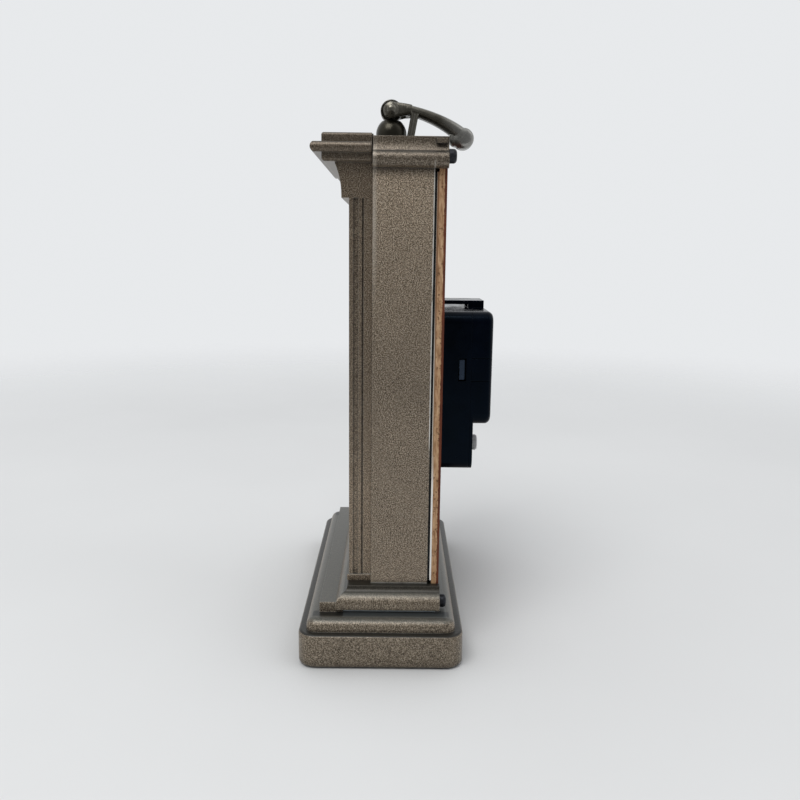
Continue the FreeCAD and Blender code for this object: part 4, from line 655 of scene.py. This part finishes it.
lengths = [strap_run(strap_from, strap_to, strap_half, 0.0, 60),
           roll(grip_y, grip_z, grip_radius, strap_half), roll(curl_y, grip_z, curl_radius, curl_half)]
for side in (-1, 1):
    lengths.append(strap_run(pivot_y, arm_to, arm_half, side * arm_middle, 40))
    lengths.append(roll(pivot_y, pivot_z, boss_radius, arm_half, side * arm_middle))
    for k in (-0.5, 0.5):
        way = np.linspace(0, 1, 30)[:, None]
        line = peg_head + (peg_foot - peg_head) * way + np.array([k * peg_pitch, 0])
        lengths.append(tube(line, peg_radius, peg_radius, side * peg_side, 2.0, 20))
cast = bmesh.new()
for points in lengths:
    length = surface("strap_length", points, True, False)
    cast.from_mesh(length)
    bpy.data.meshes.remove(length)
bmesh.ops.remove_doubles(cast, verts=cast.verts, dist=1e-7)
bmesh.ops.dissolve_degenerate(cast, edges=cast.edges, dist=1e-8)
bmesh.ops.recalc_face_normals(cast, faces=cast.faces)
for face in cast.faces:
    face.smooth = True
strap_mesh = bpy.data.meshes.new("handle_strap")
cast.to_mesh(strap_mesh)
cast.free()
strap = shown("handle_strap", strap_mesh, gunmetal)
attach(strap, "handle")
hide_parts("handle_bail")

# Bright steel: post nut, battery contacts, second wheel and stator, stamped or turned from mild steel and
# left bare with a fine brushed grain. They sit inside the cap and the movement.
steel, tree, shader, where = finish("bright_steel", 0.3, 1.0)
brushed = cloud(tree, where, 0.0004, 4.0, (1.0, 0.15, 1.0))
two_tone(tree, shader, brushed, tone(176, 176, 174), tone(214, 214, 212))
tree.links.new(ramp(tree, brushed, (0.3, grey(0.24)), (0.7, grey(0.4))), shader.inputs["Roughness"])
dress(steel, "post_nut", "battery_contact_negative", "battery_contact_positive", "second_wheel", "stator")

# Gasket: a soft black rubber ring round the bush, cut from sheet, that keeps the movement from rattling on
# the panel. It has a faint grey bloom.
rubber, tree, shader, where = finish("gasket_rubber", 0.85)
bloom = cloud(tree, where, 0.002, 5.0)
two_tone(tree, shader, bloom, tone(24, 24, 25), tone(44, 44, 45))
dress(rubber, "gasket")

# Movement housing: case and cover moulded in black plastic and snapped together, with faint flow marks and
# handling dust. The two snap tabs are painted a paler blue-grey.
tab_y, tab_z = (0.0261, 0.0279), (0.0924, 0.0994)
moulded, tree, shader, where = finish("black_moulding", 0.22)
flow = cloud(tree, where, 0.009, 3.0)
black = ramp(tree, flow, (0.3, tone(2, 4, 9)), (0.7, tone(7, 11, 20)))
tab = worked(tree, "MULTIPLY", band(tree, axis(tree, where, "Y"), *tab_y, 0.0001),
             band(tree, axis(tree, where, "Z"), *tab_z, 0.0001))
tree.links.new(mixed(tree, tab, black, tone(54, 63, 76)), shader.inputs["Base Color"])
wiped = cloud(tree, where, 0.004, 5.0)
tree.links.new(ramp(tree, wiped, (0.35, grey(0.16)), (0.75, grey(0.3))), shader.inputs["Roughness"])
tree.links.new(relief(tree, flow, 0.00004, rounding(tree, 0.0004)), shader.inputs["Normal"])
shader.inputs["Specular IOR Level"].default_value = 0.1
shader.inputs["Specular Tint"].default_value = (0.45, 0.7, 1.0, 1)
dress(moulded, "movement_case", "movement_cover")

# Setting knob: light grey plastic, moulded with a knurled rim for the finger and pushed onto the setting
# stem. It is plain and a little cloudy.
knob_grey, tree, shader, where = finish("grey_knob", 0.5)
two_tone(tree, shader, cloud(tree, where, 0.0012, 4.0), tone(176, 177, 178), tone(206, 207, 208))
dress(knob_grey, "setting_knob")

# Brass: threaded bush, washer, nut and minute tube, turned from bar with fine tool rings. The first three
# clamp the movement to the panel, and the tube carries the minute hand.
brass, tree, shader, where = finish("turned_brass", 0.28, 1.0)
rings = cloud(tree, where, 0.0005, 4.0, (0.3, 1.0, 0.3))
two_tone(tree, shader, rings, tone(196, 160, 88), tone(226, 192, 120))
tree.links.new(relief(tree, rings, 0.00002), shader.inputs["Normal"])
dress(brass, "centre_bush", "centre_washer", "centre_nut", "minute_tube")

# Battery: an AA cell in a plain two-tone printed sleeve, its ends bare steel. It lies across the movement,
# between the two contacts.
sleeve_from, sleeve_to, gold_from = -0.0246, 0.0232, 0.010
sleeve, tree, shader, where = finish("cell_sleeve", 0.28)
along = axis(tree, where, "X")
print_tone = ramp(tree, cloud(tree, where, 0.01, 3.0), (0.3, tone(26, 44, 84)), (0.7, tone(36, 58, 104)))
print_tone = mixed(tree, band(tree, along, gold_from, sleeve_to), print_tone, tone(196, 150, 70))
ends = worked(tree, "SUBTRACT", 1.0, band(tree, along, sleeve_from, sleeve_to))
tree.links.new(mixed(tree, ends, print_tone, tone(196, 196, 194)), shader.inputs["Base Color"])
tree.links.new(ends, shader.inputs["Metallic"])
dress(sleeve, "battery_cell")

# Train plastics: bridge, wheels and stem moulded in natural white acetal, which takes in a little light. They
# work inside the movement's case.
acetal, tree, shader, where = finish("white_acetal", 0.4)
two_tone(tree, shader, cloud(tree, where, 0.002, 4.0), tone(224, 224, 218), tone(238, 238, 233))
shader.inputs["Subsurface Weight"].default_value = 0.1
shader.inputs["Subsurface Radius"].default_value = (0.001, 0.001, 0.001)
dress(acetal, "train_bridge", "minute_wheel", "hour_wheel", "setting_stem", "third_wheel", "centre_wheel",
      "intermediate_wheel")

# Drive: green circuit board, enamelled copper coil and the rotor's dark sintered magnet, all inside the
# movement's case. The coil's turns show as fine ribs.
laminate, tree, shader, where = finish("circuit_laminate", 0.45)
two_tone(tree, shader, cloud(tree, where, 0.0006, 4.0), tone(26, 84, 52), tone(40, 110, 68))
dress(laminate, "circuit_board")
copper, tree, shader, where = finish("enamelled_copper", 0.3, 0.9)
turns = tree.nodes.new("ShaderNodeTexWave")
turns.inputs["Scale"].default_value = 700.0
turns.inputs["Distortion"].default_value = 0.4
tree.links.new(where, turns.inputs["Vector"])
tree.links.new(ramp(tree, turns.outputs["Fac"], (0.1, tone(96, 46, 22)), (0.9, tone(196, 108, 60))),
               shader.inputs["Base Color"])
tree.links.new(relief(tree, turns.outputs["Fac"], 0.0001), shader.inputs["Normal"])
dress(copper, "drive_coil")
magnet, tree, shader, where = finish("sintered_magnet", 0.6, 0.4)
two_tone(tree, shader, cloud(tree, where, 0.0005, 5.0), tone(60, 60, 62), tone(92, 92, 94))
dress(magnet, "rotor")

# Hands: thin stamped brass under satin black enamel, pushed onto the hour wheel's pipe, the minute tube and
# the second wheel's arbor.
enamel, tree, shader, where = finish("hand_enamel", 0.35)
two_tone(tree, shader, cloud(tree, where, 0.0015, 4.0), tone(14, 14, 15), tone(28, 28, 30))
dress(enamel, "hour_hand", "minute_hand", "second_hand")

# Stage: a pale painted table, plain, that keeps the clock's soft shadow; a painted contact shadow darkens it
# near the clock. Away from the clock it fades into the pale room, so no far edge shows.
floor_reach = 3.0
floor_count = 40
fade_from, fade_to = 0.26, 0.9
pale, tree, shader, where = finish("pale_table", 0.75)
paint = ramp(tree, cloud(tree, where, 0.25, 4.0), (0.3, tone(211, 212, 212)), (0.7, tone(217, 218, 218)))
shader.inputs["Specular IOR Level"].default_value = 0.2
# Painted contact shadow: the table darkens where the clock closes it in.
painted_contact_shadow = ramp(tree, crevice(tree, 0.04, False), (0.5, grey(0.76)), (1.0, grey(1.0)))
tree.links.new(mixed(tree, 1.0, paint, painted_contact_shadow, "MULTIPLY"), shader.inputs["Base Color"])
far = tree.nodes.new("ShaderNodeVectorMath")
far.operation = "LENGTH"
tree.links.new(where, far.inputs[0])
fade = tree.nodes.new("ShaderNodeMapRange")
fade.interpolation_type = "SMOOTHSTEP"
fade.inputs["From Min"].default_value = fade_from
fade.inputs["From Max"].default_value = fade_to
tree.links.new(far.outputs["Value"], fade.inputs["Value"])
clear = tree.nodes.new("ShaderNodeBsdfTransparent")
blend = tree.nodes.new("ShaderNodeMixShader")
tree.links.new(fade.outputs["Result"], blend.inputs["Fac"])
tree.links.new(shader.outputs["BSDF"], blend.inputs[1])
tree.links.new(clear.outputs["BSDF"], blend.inputs[2])
tree.links.new(blend.outputs["Shader"], tree.nodes["Material Output"].inputs["Surface"])
span = np.linspace(-floor_reach, floor_reach, floor_count)
floor_x, floor_y = np.meshgrid(span, span, indexing="ij")
floor = surface("table_top", np.stack([floor_x, -floor_y, 0 * floor_x], axis=-1), False, False)
table = shown("table_top", floor, pale)

# Light: a pale room with a bright ceiling, dimmer low down and on the viewer's side, and two broad soft lamps
# overhead, the stronger towards the clock's front.
fill_low, fill_high, fill_from = 0.72, 0.85, -0.1
mirror_shade, fill_shade = 0.75, 0.6
room = bpy.data.worlds.new("pale_room")
room.use_nodes = True
tree = room.node_tree
tree.nodes.clear()
out = tree.nodes.new("ShaderNodeOutputWorld")
path = tree.nodes.new("ShaderNodeLightPath")
gloss = path.outputs["Is Glossy Ray"]
seen = worked(tree, "MAXIMUM", worked(tree, "MAXIMUM", path.outputs["Is Camera Ray"], gloss),
              path.outputs["Is Transmission Ray"])
sky = tree.nodes.new("ShaderNodeTexCoord").outputs["Generated"]
viewer_side = worked(tree, "MAXIMUM", axis(tree, sky, "X"), 0.0)
wall = tree.nodes.new("ShaderNodeBackground")
wall.inputs["Color"].default_value = tone(231, 233, 235)
shaded = worked(tree, "MULTIPLY", worked(tree, "MULTIPLY", viewer_side, gloss), mirror_shade)
tree.links.new(worked(tree, "SUBTRACT", 1.0, shaded), wall.inputs["Strength"])
fill = tree.nodes.new("ShaderNodeBackground")
fill.inputs["Color"].default_value = (0.97, 0.98, 1.0, 1)
overhead = tree.nodes.new("ShaderNodeMapRange")
overhead.inputs["From Min"].default_value = fill_from
overhead.inputs["To Min"].default_value = fill_low
overhead.inputs["To Max"].default_value = fill_high
tree.links.new(axis(tree, sky, "Z"), overhead.inputs["Value"])
dimmer = worked(tree, "MULTIPLY", viewer_side, fill_shade)
tree.links.new(worked(tree, "SUBTRACT", overhead.outputs["Result"], dimmer), fill.inputs["Strength"])
pick = tree.nodes.new("ShaderNodeMixShader")
tree.links.new(seen, pick.inputs["Fac"])
tree.links.new(fill.outputs["Background"], pick.inputs[1])
tree.links.new(wall.outputs["Background"], pick.inputs[2])
tree.links.new(pick.outputs["Shader"], out.inputs["Surface"])
bpy.context.scene.world = room


def soft_lamp(name, spot, aim, width, power):
    """A square soft light at a spot, turned to face its aim."""
    lamp = bpy.data.lights.new(name, "AREA")
    lamp.size = width
    lamp.energy = power
    holder = bpy.data.objects.new(name, lamp)
    back = np.array(spot) - np.array(aim)
    back /= np.linalg.norm(back)
    right = np.cross((0, 0, 1), back)
    right /= np.linalg.norm(right)
    up = np.cross(back, right)
    turn = np.column_stack([right, up, back])
    holder.matrix_world = Matrix([(*row, place) for row, place in zip(turn, spot)] + [(0, 0, 0, 1)])
    bpy.context.scene.collection.objects.link(holder)


soft_lamp("key_lamp", (0.75, -0.4, 1.4), (0, 0, 0.08), 0.9, 14.0)
soft_lamp("rear_lamp", (0.3, 1.0, 1.2), (0, 0, 0.08), 0.9, 1.5)

# Camera: level with the upper part of the case on the clock's right-hand side, looking a little down. Its
# lens gives the same perspective as the photograph.
lens_mm = 34.875
camera = bpy.data.cameras.new("photo_camera")
camera.sensor_width = 36.0
camera.lens = lens_mm
camera.clip_start = 0.01
viewer = bpy.data.objects.new("photo_camera", camera)
viewer.matrix_world = Matrix(((0.0038, -0.1888, 0.98201, 0.2935), (0.99992, -0.01133, -0.00605, 0.00404),
                              (0.01227, 0.98195, 0.18874, 0.1361), (0, 0, 0, 1)))
bpy.context.scene.collection.objects.link(viewer)
bpy.context.scene.camera = viewer
bpy.context.scene.view_settings.view_transform = "Standard"
